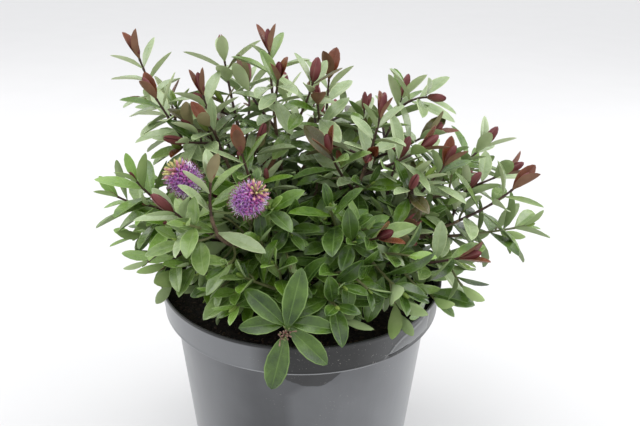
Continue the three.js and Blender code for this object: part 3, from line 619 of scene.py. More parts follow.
class Curve:
    """A Bezier curve, followed by shares of its length."""

    def __init__(self, *controls):
        self.controls = np.array(controls)
        self.t = np.linspace(0, 1, 201)
        self.measure(self.spots(self.t))

    def measure(self, samples):
        steps = np.linalg.norm(np.diff(samples, axis=0), axis=1)
        self.lengths = np.concatenate([[0], np.cumsum(steps)])
        self.length = self.lengths[-1]

    def spots(self, t):
        t = np.atleast_1d(t)[:, None]
        if len(self.controls) == 3:
            a, b, c = self.controls
            return (1 - t) ** 2 * a + 2 * t * (1 - t) * b + t**2 * c
        a, b, c, d = self.controls
        return (1 - t) ** 3 * a + 3 * t * (1 - t) ** 2 * b + 3 * t**2 * (1 - t) * c + t**3 * d

    def at(self, share):
        return self.spots(np.interp(np.asarray(share) * self.length, self.lengths, self.t))

    def point(self, share):
        return self.at(share)[0]

    def tangent(self, share):
        low, high = max(0.0, share - 1e-3), min(1.0, share + 1e-3)
        return unit(self.point(high) - self.point(low))


class Joined(Curve):
    """One curve as far as a share of it, and then another."""

    def __init__(self, first, share, second):
        before, beyond = np.linspace(0, share, 80, endpoint=False), np.linspace(0, 1, 121)
        self.samples = np.vstack([first.at(before), second.at(beyond)])
        self.t = np.linspace(0, 1, len(self.samples))
        self.measure(self.samples)

    def spots(self, t):
        return np.stack([np.interp(np.atleast_1d(t), self.t, column) for column in self.samples.T], axis=1)


def stem_axis(z):
    """The middle of the stem, which leans a little, at a height."""
    return np.array([-STEM_LEAN * (z - STEM_FOOT), 0, z])


def foot_bearings():
    """Where boughs leave the stem: of three neighbours the steepest from the top ring, the flattest low."""
    steep = [(mass.height - STEM_FOOT) / mass.reach for mass in MASSES]
    order = sorted(range(len(MASSES)), key=lambda i: MASSES[i].bearing)
    rings = [[] for _ in RING_HEIGHTS]
    for i in range(0, len(order), len(rings)):
        for ring, index in enumerate(sorted(order[i : i + len(rings)], key=lambda k: steep[k])):
            rings[ring].append(index)
    feet = {}
    for ring, members in enumerate(rings):
        members.sort(key=lambda k: MASSES[k].bearing)
        even = [i * 360 / len(members) for i in range(len(members))]
        offset = sum(MASSES[k].bearing - e for k, e in zip(members, even)) / len(members)
        for k, e in zip(members, even):
            feet[k] = (e + offset, STEM_FOOT + RING_HEIGHTS[ring])
    return feet


def leading_curve(index):
    """A bough and the leading shoot that carries it on, from the stem's fork to the leading bud."""
    mass, (foot_bearing, foot_height) = MASSES[index], feet[index]
    start, tip = stem_axis(foot_height), cylindrical(mass.bearing, mass.reach, mass.height)
    halfway = start[2] + (mass.height - start[2]) * 0.5 + mass.arch
    rising = cylindrical(mass.bearing, mass.reach * 0.85, halfway)
    whole = Curve(start, start + cylindrical(foot_bearing, 46, 14), rising, tip)
    if index != FLOWERING:
        return whole
    # The shoot with the flowers leans out low before it turns straight up.
    fork, ahead = whole.point(FORK), whole.tangent(FORK)
    return Joined(whole, FORK, Curve(fork, fork + ahead * 26, cylindrical(*BENT_THROUGH), tip))


def side_curve(index, n, count, draw):
    """A shoot that leaves the leading one, swings out, and ends beside and a little below its bud."""
    leading = leadings[index]
    share = 0.08 + (0.55 - 0.08) * (n + 0.5) / count
    start = leading.point(FORK + (1 - FORK) * share)
    along = leading.tangent(1)
    sideways = around(along, MASSES[index].turn + n * GOLDEN_ANGLE + 70 * (next(draw) - 0.5))
    tip = leading.point(1) + sideways * SIDE_REACH * (0.85 + 0.35 * next(draw))
    tip = tip - along * SIDE_DROP * (0.4 + 1.2 * next(draw))
    tip[2] = max(tip[2], LOWEST_BUD)
    middle = (start + tip) / 2 + sideways * 0.16 * np.linalg.norm(start - tip)
    return Curve(start, middle, tip)


def low_curve(index, n, _, draw):
    """A shoot that leaves the leading one near its foot and spreads out over the compost."""
    mass = MASSES[index]
    start = leadings[index].point(FORK + 0.03 + 0.08 * n)
    side = -1 if (n + mass.turn) % 2 else 1
    bearing = mass.bearing + side * 30 * (0.5 + next(draw))
    reach = min(max(mass.reach * 0.86 + 30 * (next(draw) - 0.5), 92), 158)
    tip = cylindrical(bearing, reach, LOWEST_BUD + 40 * next(draw))
    return Curve(start, start + (tip - start) * 0.55 + UP * 14, tip)


def line_of(curve, start):
    """Points along a curve, about 6 mm apart."""
    count = math.ceil(curve.length * (1 - start) / 6)
    return curve.at(start + (1 - start) * np.arange(count + 1) / count)


def in_pot(points):
    """Which points lie in or too near the pot or the compost."""
    margin = 1.5
    radius = np.hypot(points[:, 0], points[:, 1])
    outside = (points[:, 2] > POT_HEIGHT + margin) | (radius > RIM_RADIUS + margin)
    hollow = (radius < BAND_FOOT - WALL - margin - 1) & (points[:, 2] > COMPOST_CROWN + 1.6 + margin)
    return ~(outside | hollow)


def hangs_over(points):
    """Which points hang below the rim outside the pot, where only the long shoot in front reaches down."""
    x, y = points[:, 0], points[:, 1]
    lowest = np.where(y < -30, 240, 236 - 0.35 * np.clip(np.hypot(x, y) - RIM_RADIUS, 0, None))
    lowest = np.where((x < -128) & (y < 30), 266, lowest)
    return (np.hypot(x, y) > 126) & (points[:, 2] < lowest)


def keeps_clear(curve, gap):
    """True where a curve misses the pot and keeps this gap to every shoot so far."""
    free = line_of(curve, 0)[3:]
    if in_pot(free).any():
        return False
    others = np.vstack(lines)
    return np.linalg.norm(free[:, None] - others[None], axis=2).min() >= gap


def grow(index, curve, start, draw, finer=False):
    """Records a shoot of a mass, leafy from a share of its curve to its end."""
    shoots.append({
        "mass": index, "curve": curve, "start": start, "length": curve.length * (1 - start),
        "roll": 360 * next(draw), "vigour": 0.9 + 0.2 * next(draw), "finer": finer, "leading": start > 0,
    })
    lines.append(line_of(curve, 0))


FLOWERING = MASS_NAMES.index("front_left")  # also its leading shoot's place among the shoots
feet = foot_bearings()
shoots, lines = [], []
leadings = [leading_curve(i) for i in range(len(MASSES))]
for index, leading in enumerate(leadings):
    grow(index, leading, FORK, seeded(100 + index))
for kind, column, seed in ((side_curve, "sides", 200), (low_curve, "lows", 300)):
    for index, mass in enumerate(MASSES):
        draw, count = seeded(seed + index), getattr(mass, column)
        for n in range(count):
            tries = [kind(index, n, count, draw) for _ in range(6)]
            clear = next((curve for curve in tries if keeps_clear(curve, SHOOT_GAP)), None)
            if clear:
                grow(index, clear, 0, draw)

for name, tip in EDGE_SHOOTS:
    index = MASS_NAMES.index(name)
    for below in (66, 56, 76, 48, 86):
        share = 1 - below / leadings[index].length
        start, along = leadings[index].point(share), leadings[index].tangent(share)
        edge = Curve(start, start + along * 0.45 * np.linalg.norm(tip - start), np.array(tip, float))
        if keeps_clear(edge, EDGE_GAP):
            grow(index, edge, 0, seeded(8000 + len(shoots)))
            break

# The finer shoots, which the solids leave out: short ones from the leaf joints, by the same golden angle, and
# shaded ones from the boughs inside the crown.
LYING = MASS_NAMES.index("front")  # the long shoot that lies over the rim
lying_tip = leadings[LYING].point(1)
for parent in list(shoots):
    draw = seeded(4000 + 7 * len(shoots))
    skirt = parent["curve"].point(1)[2] < SKIRT_HEIGHT
    count = 3 if parent["leading"] else 2 if skirt else 1
    spread, begun = 0.8 if skirt else 0.5, parent["start"]
    outer = [begun + (1 - begun) * (0.08 + spread * (n + 0.5) / count) for n in range(count)]
    shaded = [0.14, 0.2, 0.26, 0.32, 0.4] if parent["leading"] else []
    for n, at in enumerate(outer + shaded):
        inner = n >= count
        start, along = parent["curve"].point(at), parent["curve"].tangent(at)
        if not inner and (start > OPEN_CROWN).all():
            continue
        for _ in range(5):
            sideways = around(along, GOLDEN_ANGLE * n + 360 * next(draw))
            size = 26 + 20 * next(draw)
            outward = unit(start * (1, 1, 0) + (1e-3, 0, 0))
            down = 0.75 if skirt and n and not inner else -0.1
            tip = start + size * unit(sideways * 0.75 + along * 0.55 + outward * 0.3 - UP * down)
            twig = Curve(start, start + sideways * size * 0.45 + along * 2, tip)
            if np.linalg.norm(tip - lying_tip) <= LYING_CLEARING or hangs_over(line_of(twig, 0)[1:]).any():
                continue
            if keeps_clear(twig, SHADED_GAP if inner else FINER_GAP):
                grow(parent["mass"], twig, 0, draw, finer=True)
                break
flowering = shoots[FLOWERING]


# ---- Stem and boughs ---------------------------------------------------------------------------------------
# A short woody stem, flared where it enters the compost, that forks into slender boughs. Its bark is thin and
# tan brown, ringed by the scars of old leaf pairs and fissured lengthways.


def tube(path, radii, sides, relief=None):
    """A closed limb along a line of points, without twist. relief(along, angles) is added to its radius."""
    ahead = np.gradient(path, axis=0)
    ahead /= np.linalg.norm(ahead, axis=1, keepdims=True)
    away = UP if abs(ahead[0][2]) < 0.9 else np.array([1.0, 0, 0])
    side = unit(np.cross(ahead[0], away))
    run = np.concatenate([[0], np.cumsum(np.linalg.norm(np.diff(path, axis=0), axis=1))])
    angles = np.arange(sides) * 2 * math.pi / sides
    points = []
    for spot, forward, radius, along in zip(path, ahead, radii, run):
        side = unit(side - forward * np.dot(side, forward))
        other = np.cross(forward, side)
        swell = radius + (relief(along, angles) if relief else 0)
        points.append(spot + np.outer(np.cos(angles) * swell, side) + np.outer(np.sin(angles) * swell, other))
    faces = []
    for row in range(len(path) - 1):
        low, high = row * sides, (row + 1) * sides
        faces += [(low + i, low + (i + 1) % sides, high + (i + 1) % sides, high + i) for i in range(sides)]
    faces += [tuple(reversed(range(sides))), tuple(range((len(path) - 1) * sides, len(path) * sides))]
    return np.vstack(points), faces


class Batch:
    """Many small meshes gathered into one piece."""

    def __init__(self):
        self.points, self.faces, self.slots, self.sharp, self.count = [], [], [], [], 0

    def add(self, points, faces, slots=0, sharp=None):
        """Adds a mesh, with one material's number for it all or one for each face."""
        self.faces += [tuple(i + self.count for i in f) for f in faces]
        self.slots += [slots] * len(faces) if isinstance(slots, int) else list(slots)
        self.sharp.append(np.zeros(len(points), bool) if sharp is None else sharp)
        self.points.append(points)
        self.count += len(points)

    def piece(self, name, materials):
        points, sharp = np.vstack(self.points), np.concatenate(self.sharp)
        return piece(name, points, self.faces, materials, self.slots, sharp)


def bark_relief(seed, depth):
    """Rings of old leaf scars every 9 mm or so, over fissures that run lengthways and wander."""
    local = np.random.default_rng(seed)
    phase = local.uniform(0, 6.3, 4)

    def relief(along, angles):
        ring = np.exp(-(((along + 1.1 * np.sin(angles * 2 + phase[0])) % 9.0 - 4.5) / 0.8) ** 2)
        fissure = np.sin(7 * angles + 0.25 * along + phase[1]) * np.sin(4 * angles - 0.11 * along + phase[2])
        return depth * (0.9 * ring + 0.55 * fissure + 0.3 * np.sin(0.7 * along + phase[3] + 3 * angles))

    return relief


BARK_BROWNS = ((0.045, 0.026, 0.017), (0.30, 0.205, 0.145))
BOUGH_RADII, FLOWERING_RADII = (3.6, 2.9, 2.1), (3.6, 3.0, 3.0)  # at the stem, a little way out, at the fork
bark = Finish("brown_bark", Roughness=0.85, Specular_IOR_Level=0.3)
fissures = bark.noise(240, 4, 0.65)
weathering = bark.noise(40, 2)
bark.feed("Base Color", bark.mix(bark.ramp(fissures + 0.5 * weathering, 0.45, 0.95), *BARK_BROWNS))
bark.bump(fissures + 0.5 * bark.noise(900, 2), 0.0005)

stem_bark = bark_relief(5, 0.45)


def flare(along, angles):
    """The stem's bark, with the ridges of its roots where it enters the compost."""
    ridges = 1.6 * np.exp(-along / 5) * np.cos(5 * angles) ** 2
    return stem_bark(along, angles) + ridges - 0.6


wood = Batch()
stem_heights = np.concatenate([np.linspace(-0.3, 14, 16), np.linspace(16, STEM_HEIGHT - 1, 26)])
stem_radii = np.interp(stem_heights, [0, 3, 7, 13, 49, STEM_HEIGHT], [14, 12.3, 10.9, 10, 8, 6.5])
stem_path = np.array([stem_axis(STEM_FOOT + h) for h in stem_heights])
wood.add(*tube(stem_path, stem_radii, 40, flare))
for index, leading in enumerate(leadings):
    shares = np.linspace(0.004, FORK + 0.004, int(leading.length * FORK / 1.8))
    radii = np.interp(shares, [0, 0.1, FORK], FLOWERING_RADII if index == FLOWERING else BOUGH_RADII)
    wood.add(*tube(leading.at(shares), radii, 12, bark_relief(20 + index, 0.16)))
stem_and_boughs = wood.piece("stem_and_boughs", [bark])
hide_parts("short_stem", *(f"bough_{name}" for name in MASS_NAMES))
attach(stem_and_boughs, "root")


# ---- Shoots ------------------------------------------------------------------------------------------------
# The leafy shoots that carry on from the boughs, and the finer ones from their leaf joints. Last year's
# length is tan brown, the new growth near the tip almost black, and both thicken at every leaf pair.

LONGEST_LEAF, SHOOT_SIDES = 46.0, 7
LEADING_FOOT, SIDE_FOOT, FINER_FOOT, TIP_RADIUS = 2.1, 1.6, 1.15, 0.95  # the shoots' radii
BROWN_BELOW, FLOWERING_BROWN_BELOW = 75.0, 50.0  # a shoot is brown this far below its tip
foliage_nodes = [f"foliage_{name}" for name in MASS_NAMES]
# The masses whose leading bud has begun to part or is closed, the lime green one, and the fresh green ones.
PARTED = {
    "left_tall", "left_inner", "centre", "centre_right", "front_inner", "front_left", "front_right", "right",
    "right_inner", "right_far", "right_low",
}
CLOSED = {"left_rear", "right_rear", "right_back"}
LIME = {"left"}
FRESH = {
    "front", "front_low_left", "front_low_right", "left_low", "left_back_low", "right_back_low", "back_low",
}
# How each kind of tip ends: its bud's length, how far its first pair opens, and how far grown that pair is.
TIPS = {
    "closed": (25, 40, 0.6), "parted": (21, 24, 0.2), "open": (19, 32, 0.3), "young": (10, 30, 0.0),
    "rosette": (6, 62, 3.0),
}


def share_below_tip(shoot, distance):
    """Where on its curve a shoot is this far below its tip."""
    return 1 - distance / shoot["length"] * (1 - shoot["start"])


def leaf_pairs(shoot):
    """The leaf pairs from the tip down: share of the curve, opening in degrees, leaf length and turn."""
    draw = seeded(9000 + int(shoot["roll"] * 10))
    size = LONGEST_LEAF * (0.88 if shoot["finer"] else 1.0)
    size = size * (1.15 if shoot["tint"] == "lime" else 1.0) * shoot["vigour"]
    _, first, ahead = TIPS[shoot["state"]]
    pairs, below, n = [], shoot["bud"] + 1.5, 0
    while below < shoot["length"] - (4 if shoot["finer"] else 8):
        opening = first if n == 0 else 84 - 36 * math.exp(-(n - 1) / 1.5)
        length = size * (1 - 0.46 * math.exp(-(n + ahead) / 1.2)) * (0.9 + 0.2 * next(draw))
        turn = shoot["roll"] + 90 * n + 14 * (next(draw) - 0.5)
        pairs.append((share_below_tip(shoot, below), opening + 10 * (next(draw) - 0.5), length, turn))
        if shoot["state"] == "rosette" and n < 3:
            below += 4
        else:
            below += (8.5 + 6 * (1 - math.exp(-n / 1.5))) * (0.9 + 0.2 * next(draw))
        n += 1
    return pairs


for number, shoot in enumerate(shoots):
    name, chance, bud_spot = MASS_NAMES[shoot["mass"]], next(seeded(3000 + number)), shoot["curve"].point(1)
    in_front = bud_spot[1] < -70 and bud_spot[0] < 60
    low = name in FRESH or bud_spot[2] < (350 if shoot["finer"] or in_front else 285)
    shoot["tint"] = "lime" if name in LIME else "fresh" if low else "red"
    shoot["state"] = "closed" if chance < 0.5 else "parted" if chance < 0.8 else "open"
    if number == LYING:
        shoot["state"] = "rosette"
    elif shoot["tint"] != "red":
        shoot["state"] = "young"
    elif name in PARTED | CLOSED and shoot["leading"]:
        shoot["state"] = "parted" if name in PARTED else "closed"
    shoot["bud"] = TIPS[shoot["state"]][0] * (0.65 if shoot["finer"] else 1)
    shoot["pairs"] = leaf_pairs(shoot)


def shoot_finish(name, roughness, dark, light):
    """The thin, almost smooth skin of this year's growth."""
    made = Finish(name, Roughness=roughness)
    made.feed("Base Color", made.mix(made.noise(90, 2), dark, light))
    made.bump(made.noise(800, 2), 0.0002)
    return made


young_bark = shoot_finish("dark_shoot", 0.55, (0.016, 0.009, 0.009), (0.105, 0.046, 0.032))
green_bark = shoot_finish("green_shoot", 0.5, (0.10, 0.13, 0.035), (0.17, 0.16, 0.07))

twigs = Batch()
for shoot in shoots:
    curve, start = shoot["curve"], shoot["start"]
    end = share_below_tip(shoot, shoot["bud"] * 0.85)
    shares = np.linspace(start, end, max(6, int(curve.length * (end - start) / 2.2)))
    below = (1 - shares) / (1 - start) * shoot["length"]
    foot = LEADING_FOOT if shoot["leading"] else FINER_FOOT if shoot["finer"] else SIDE_FOOT
    browned = BROWN_BELOW * shoot["vigour"]
    if shoot is flowering:
        foot, browned = FLOWERING_RADII[-1], FLOWERING_BROWN_BELOW
    radii = np.interp(below, [shoot["bud"], shoot["length"]], [TIP_RADIUS, foot])
    for share, *_ in shoot["pairs"]:
        radii += 0.34 * np.exp(-(((shares - share) * curve.length / 1.3) ** 2))
    points, faces = tube(curve.at(shares), radii, SHOOT_SIDES)
    young = 2 if shoot["tint"] == "fresh" else 1
    rows = [min(i // SHOOT_SIDES, len(below) - 1) for i in range(len(faces) - 2)]
    slots = [young if below[row] < browned else 0 for row in rows]
    twigs.add(points, faces, slots + [slots[0], slots[-1]])
stems = twigs.piece("leafy_shoots", [bark, young_bark, green_bark])
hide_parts(*foliage_nodes)
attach(stems, "root")


# ---- Leaves ------------------------------------------------------------------------------------------------
# Leathery, softly glossy leaves on very short stalks, in opposite pairs, each a little folded along its
# midrib, with a pale underside and margin. The youngest are red brown, the next bronze, the old ones deep or
# grey green: darker greens are dealt out more where the crown is in shade, as painted shade, and grey green
# on the top and the far side, whose pale tone is partly a painted sheen.

# A blade's half width along its length, and the six points across its upper face, as shares.
STATIONS = (
    (0.0, 0.0), (0.07, 0.18), (0.23, 0.62), (0.43, 0.95),
    (0.63, 0.98), (0.81, 0.74), (0.94, 0.36), (1.0, 0.0),
)
CROSS = (-1.0, -0.9, -0.055, 0.055, 0.9, 1.0)
UPPER, MARGIN, UNDERSIDE, RIB = range(4)
ACROSS = (MARGIN, UPPER, RIB, UPPER, MARGIN)  # the parts of the upper face between those six points
LEAF_WIDTH = {"red": 0.335, "fresh": 0.41, "lime": 0.34}
ROSETTE_AXIS = unit(np.array([0.05, -0.78, 0.62]))  # the tip of the shoot that lies over the rim turns up


def blade_places():
    """A leaf's points: shares of its half width and length, and how many millimetres below its face."""
    places = [(0, 0, 0)]
    for s, w in STATIONS[1:-1]:
        places += [(w * u, s, 0.32 if abs(u) == 1 else 0) for u in CROSS] + [(0, s, 0.75 if s < 0.9 else 0.5)]
    return places + [(0, 1, 0.25)]


def blade_faces():
    """A closed leaf's faces and their parts. Each ring between root and tip is six upper points and a keel.

    Its upper face comes in five strips, and two more faces close it below.
    """
    rings = [[1 + 7 * r + i for i in range(7)] for r in range(len(STATIONS) - 2)]
    first, last, tip = rings[0], rings[-1], 1 + 7 * len(rings)
    faces = [(0, first[k + 1], first[k]) for k in range(5)]
    parts = [*ACROSS]
    for low, high in zip(rings, rings[1:]):
        faces += [(low[k], low[k + 1], high[k + 1], high[k]) for k in range(5)]
        faces += [(low[6], low[0], high[0], high[6]), (low[5], low[6], high[6], high[5])]
        parts += [*ACROSS, UNDERSIDE, UNDERSIDE]
    faces += [(last[k], last[k + 1], tip) for k in range(5)]
    faces += [(0, first[0], first[6]), (0, first[6], first[5])]
    faces += [(tip, last[6], last[0]), (tip, last[5], last[6])]
    parts += [*ACROSS, *[UNDERSIDE] * 4]
    return faces, parts


BLADE_FACES, BLADE_PARTS = blade_faces()
RING_SHARP = [True, False, False, False, False, True, False]
BLADE_SHARP = np.array([True] + RING_SHARP * (len(STATIONS) - 2) + [True])
# A leaf's outline for the tests: shares of its length and half width, round its edge and then its middle.
OUTLINE = ((0, 0), (0.26, 0.68), (0.68, 0.95), (1, 0), (0.68, -0.95), (0.26, -0.68), (0.5, 0))


class Leaf:
    """A leaf: where it is rooted, its three directions, and how long, wide, bent and folded it is."""

    def __init__(self, root, along, outward, opening, length, width, droop, fold, twist, lift):
        a = math.radians(opening)
        self.forward = along * math.cos(a) + outward * math.sin(a)
        face = along * math.sin(a) - outward * math.cos(a)
        sky = UP - self.forward * np.dot(UP, self.forward)
        if np.linalg.norm(sky) > 0.2 and np.dot(sky, face) > -0.2:
            face = unit(face * (1 - lift) + unit(sky) * lift)
        turned_by = math.radians(twist)
        side = np.cross(face, self.forward)
        self.face = face * math.cos(turned_by) + side * math.sin(turned_by)
        self.across = np.cross(self.face, self.forward)
        self.root, self.length, self.droop, self.fold = root, length, droop, fold
        self.half = length * width / 2
        self.outline = self.spots(np.array(OUTLINE))

    def shape(self):
        """The five vectors that carry a flat blade into this leaf: reach, spread, fold, sag and under."""
        rise = self.face * self.half * self.fold
        sag = self.face * self.droop * self.length
        return self.forward * self.length, self.across * self.half, rise, sag, self.face

    def spots(self, pairs):
        """Points of the upper face at shares of the length and of the half width."""
        s, u = pairs[:, 0], pairs[:, 1]
        rise = np.abs(u) * self.half * self.fold - self.droop * self.length * s**2
        flat = self.root + np.outer(s * self.length, self.forward) + np.outer(u * self.half, self.across)
        return flat + np.outer(rise, self.face)


TRIANGLES = ((0, 1, 6), (1, 2, 6), (2, 3, 6), (3, 4, 6), (4, 5, 6), (5, 0, 6))
EDGES = ((0, 1), (1, 2), (2, 3), (3, 4), (4, 5), (5, 0), (0, 6), (6, 3))


def cross_any(segments, triangles):
    """True if any segment passes through any triangle."""
    a, b = segments[:, None, 0], segments[:, None, 1]
    p, q, r = (triangles[None, :, i] for i in range(3))
    d, e1, e2 = b - a, q - p, r - p
    h = np.cross(d, e2)
    det = (e1 * h).sum(-1)
    det = np.where(np.abs(det) < 1e-9, 1e-9, det)
    s = a - p
    u = (s * h).sum(-1) / det
    k = np.cross(s, e1)
    v = (d * k).sum(-1) / det
    t = (e2 * k).sum(-1) / det
    return bool(((u > 0) & (v > 0) & (u + v < 1) & (t > 0) & (t < 1)).any())


def pieces_of(outlines):
    """The triangles and the edges of leaf outlines, as arrays."""
    return outlines[:, TRIANGLES].reshape(-1, 3, 3), outlines[:, EDGES].reshape(-1, 2, 3)


twig_segments = np.vstack([np.stack([line[:-1], line[1:]], 1) for line in lines])
twig_owner = np.concatenate([np.full(len(line) - 1, i) for i, line in enumerate(lines)])
twig_middle = twig_segments.mean(1)
heads = [(cylindrical(*foot), cylindrical(*tip)) for _, foot, tip in FLOWERS]
HEAD_GAP, OWN_HEAD_GAP = 15.5, 11  # from a flower head's axis to other leaves, and to its own shoot's
STRAY = 6  # how far a leaf may reach past the box of the solids
reach_low, reach_high = np.array(cad_low) / MM - STRAY, np.array(cad_high) / MM + STRAY
# Along part of the flowering shoot the leaves have dropped, and no leaf hides it from the front.
BARE_FROM, BARE_TO = 52, 112
bare = flowering["curve"].at([share_below_tip(flowering, below) for below in range(BARE_FROM, BARE_TO, 4)])
AHEAD = unit(np.array([0.2, -0.9, 0.36]))
MOST_LEAVES = 6000
leaves, outlines, pair_keys = [], np.empty((MOST_LEAVES, len(OUTLINE), 3)), np.empty(MOST_LEAVES)


def leaf_fits(leaf, owner, pair_key, may_hang):
    """True where a leaf misses the bare stretch, the pot, the flower heads, other shoots and other leaves."""
    outline = leaf.outline
    rim = np.vstack([outline, (outline + np.roll(outline, 1, 0)) / 2])
    gone = rim[:, None] - bare
    before = gone @ AHEAD
    aside = np.linalg.norm(gone - before[..., None] * AHEAD, axis=2)
    if ((before > 2) & (aside < 6)).any():
        return False
    if in_pot(rim).any() or (rim < reach_low).any() or (rim > reach_high).any():
        return False
    if not may_hang and hangs_over(rim).any():
        return False
    for foot, tip in heads:
        axis = tip - foot
        share = np.clip((rim - foot) @ axis / (axis @ axis), 0, 1)
        gap = np.linalg.norm(rim - foot - share[:, None] * axis, axis=1)
        own = shoots[owner] is flowering
        if (own and gap[1:7].min() < OWN_HEAD_GAP) or (not own and gap.min() < HEAD_GAP):
            return False
    tris, segs = pieces_of(outline[None])
    middle = outline[6]
    near = (np.linalg.norm(twig_middle - middle, axis=1) < leaf.length * 0.6 + 4) & (twig_owner != owner)
    near &= np.linalg.norm(twig_middle - leaf.root, axis=1) > 5
    if near.any() and cross_any(twig_segments[near], tris):
        return False
    others = outlines[:len(leaves)]
    near = np.linalg.norm(others[:, 6] - middle, axis=1) < leaf.length * 0.55 + 24
    near &= pair_keys[:len(leaves)] != pair_key
    if near.any():
        other_tris, other_segs = pieces_of(others[near])
        if cross_any(segs, other_tris) or cross_any(other_segs, tris):
            return False
    return True


def keep(leaf, pair_key, n, shoot, chance):
    """Records a leaf that has found room, the n-th of its shoot from the tip."""
    outlines[len(leaves)], pair_keys[len(leaves)] = leaf.outline, pair_key
    leaf.n, leaf.shoot, leaf.chance = n, shoot, chance
    leaves.append(leaf)


# The flowering shoot keeps one leaf that lies up across its left head, and a broad pair under the heads: how
# far below the tip each is rooted, the spot it points to, its length and width, and its draw for a colour.
HEAD_LEAVES = (
    (46, (-91, -147, 382), 51, 0.22, 0.5), (66, (-22, -126, 310), 48, 0.27, 0.6),
    (66, (-103, -134, 341), 46, 0.28, 0.5),
)
skyward = AHEAD + 0.9 * UP
for below, aim, size, width, chance in HEAD_LEAVES:
    root = flowering["curve"].point(share_below_tip(flowering, below))
    forward = unit(np.array(aim, float) - root)
    facing = unit(skyward - forward * np.dot(skyward, forward))
    keep(Leaf(root, forward, -facing, 0, size, width, 0.04, 0.5, 0, 0), -1, 3, flowering, chance)

# The lying shoot's tip: its first three pairs' turns, sizes and openings of either leaf.
ROSETTE_TURNS, ROSETTE_SIZES = (255, 138, 352), (1.12, 0.98, 0.85)
ROSETTE_OPENINGS = ((122, 76), (84, 98), (80, 88))
# What is tried for a leaf, until it fits: a share of its full size, and a nudge round its shoot in degrees.
TRIES = ((1, 0), (1, 13), (1, -13), (0.9, 26), (0.9, -26), (0.75, 0), (0.75, 20), (0.6, 0))
for owner, shoot in enumerate(shoots):
    draw = seeded(70000 + owner)
    for n, (share, opening, length, turn) in enumerate(shoot["pairs"]):
        spot, along = shoot["curve"].point(share), shoot["curve"].tangent(share)
        rosette = shoot["state"] == "rosette" and n < 3
        if rosette:
            along, turn, length = ROSETTE_AXIS, ROSETTE_TURNS[n], LONGEST_LEAF * ROSETTE_SIZES[n]
        level = 1 - abs(along[2])
        for half in (0, 1):
            droop, fold, twist = 0.04 + 0.16 * next(draw), 0.24 + 0.36 * next(draw), 24 * (next(draw) - 0.5)
            width = LEAF_WIDTH[shoot["tint"]] * (0.92 + 0.16 * next(draw))
            if n == 0 and shoot["tint"] == "red" and shoot["state"] != "closed":
                width *= 1.22
            if rosette:
                opening, level, width, fold = ROSETTE_OPENINGS[n][half], 0, 0.38, 0.62
            bend, lift = droop - 0.12 * math.exp(-n / 1.2), 0.2 + 0.6 * level
            for scale, nudge in TRIES:
                outward = unit(around(along, turn + 180 * half + nudge) * (1, 1, 1 - 0.5 * level))
                leaf = Leaf(spot, along, outward, opening, length * scale, width, bend, fold, twist, lift)
                if leaf_fits(leaf, owner, owner * 100 + n, rosette):
                    keep(leaf, owner * 100 + n, n, shoot, next(draw))
                    break


def leaf_finish(name, dark, light, roughness, sheen=0.0, gloss=0.35):
    """A leathery leaf surface: two tones that drift into each other, a fine grain and a soft gloss."""
    made = Finish(name, Specular_IOR_Level=gloss, Coat_Weight=sheen, Coat_Roughness=0.3)
    drift = made.noise(55, 3, 0.55)
    made.feed("Base Color", made.mix(made.ramp(drift, 0.32, 0.68), dark, light))
    made.feed("Roughness", roughness + 0.14 * made.noise(160, 2))
    made.bump(made.noise(420, 3) + 0.5 * made.noise(1500, 2), 0.00022, 0.7)
    return made


# Each kind's two tones of upper face, margin, underside and rib.
LEAF_KINDS = {
    "deep_green": (
        ((0.020, 0.054, 0.005), (0.092, 0.176, 0.022)), ((0.14, 0.23, 0.06), (0.21, 0.32, 0.10)),
        ((0.25, 0.34, 0.14), (0.31, 0.40, 0.19)), ((0.100, 0.180, 0.040), (0.160, 0.260, 0.070)),
    ),
    "mid_green": (
        ((0.100, 0.182, 0.036), (0.245, 0.358, 0.100)), ((0.25, 0.36, 0.12), (0.34, 0.45, 0.19)),
        ((0.32, 0.42, 0.19), (0.41, 0.50, 0.27)), ((0.190, 0.290, 0.090), (0.280, 0.390, 0.150)),
    ),
    # Grey green's pale upper tones hold a painted sheen of the bright room on top of the leaf's own colour.
    "grey_green": (
        ((0.235, 0.330, 0.142), (0.405, 0.505, 0.275)), ((0.43, 0.52, 0.26), (0.54, 0.62, 0.35)),
        ((0.50, 0.58, 0.33), (0.60, 0.67, 0.43)), ((0.320, 0.410, 0.175), (0.440, 0.530, 0.280)),
    ),
    "fresh_green": (
        ((0.054, 0.130, 0.008), (0.148, 0.270, 0.024)), ((0.17, 0.29, 0.06), (0.23, 0.36, 0.09)),
        ((0.24, 0.34, 0.11), (0.31, 0.40, 0.16)), ((0.110, 0.210, 0.032), (0.170, 0.290, 0.055)),
    ),
    "lime": (
        ((0.170, 0.310, 0.045), (0.260, 0.420, 0.090)), ((0.30, 0.45, 0.14), (0.36, 0.50, 0.18)),
        ((0.30, 0.42, 0.15), (0.37, 0.48, 0.20)), ((0.230, 0.380, 0.080), (0.300, 0.450, 0.110)),
    ),
    "bronze": (
        ((0.060, 0.056, 0.018), (0.120, 0.112, 0.034)), ((0.18, 0.12, 0.07), (0.23, 0.16, 0.09)),
        ((0.22, 0.18, 0.09), (0.30, 0.26, 0.14)), ((0.110, 0.090, 0.045), (0.150, 0.120, 0.060)),
    ),
    "red_brown": (
        ((0.125, 0.031, 0.012), (0.230, 0.070, 0.028)), ((0.24, 0.09, 0.05), (0.30, 0.13, 0.07)),
        ((0.16, 0.072, 0.042), (0.25, 0.125, 0.076)), ((0.140, 0.036, 0.016), (0.210, 0.064, 0.028)),
    ),
}
finishes = {}
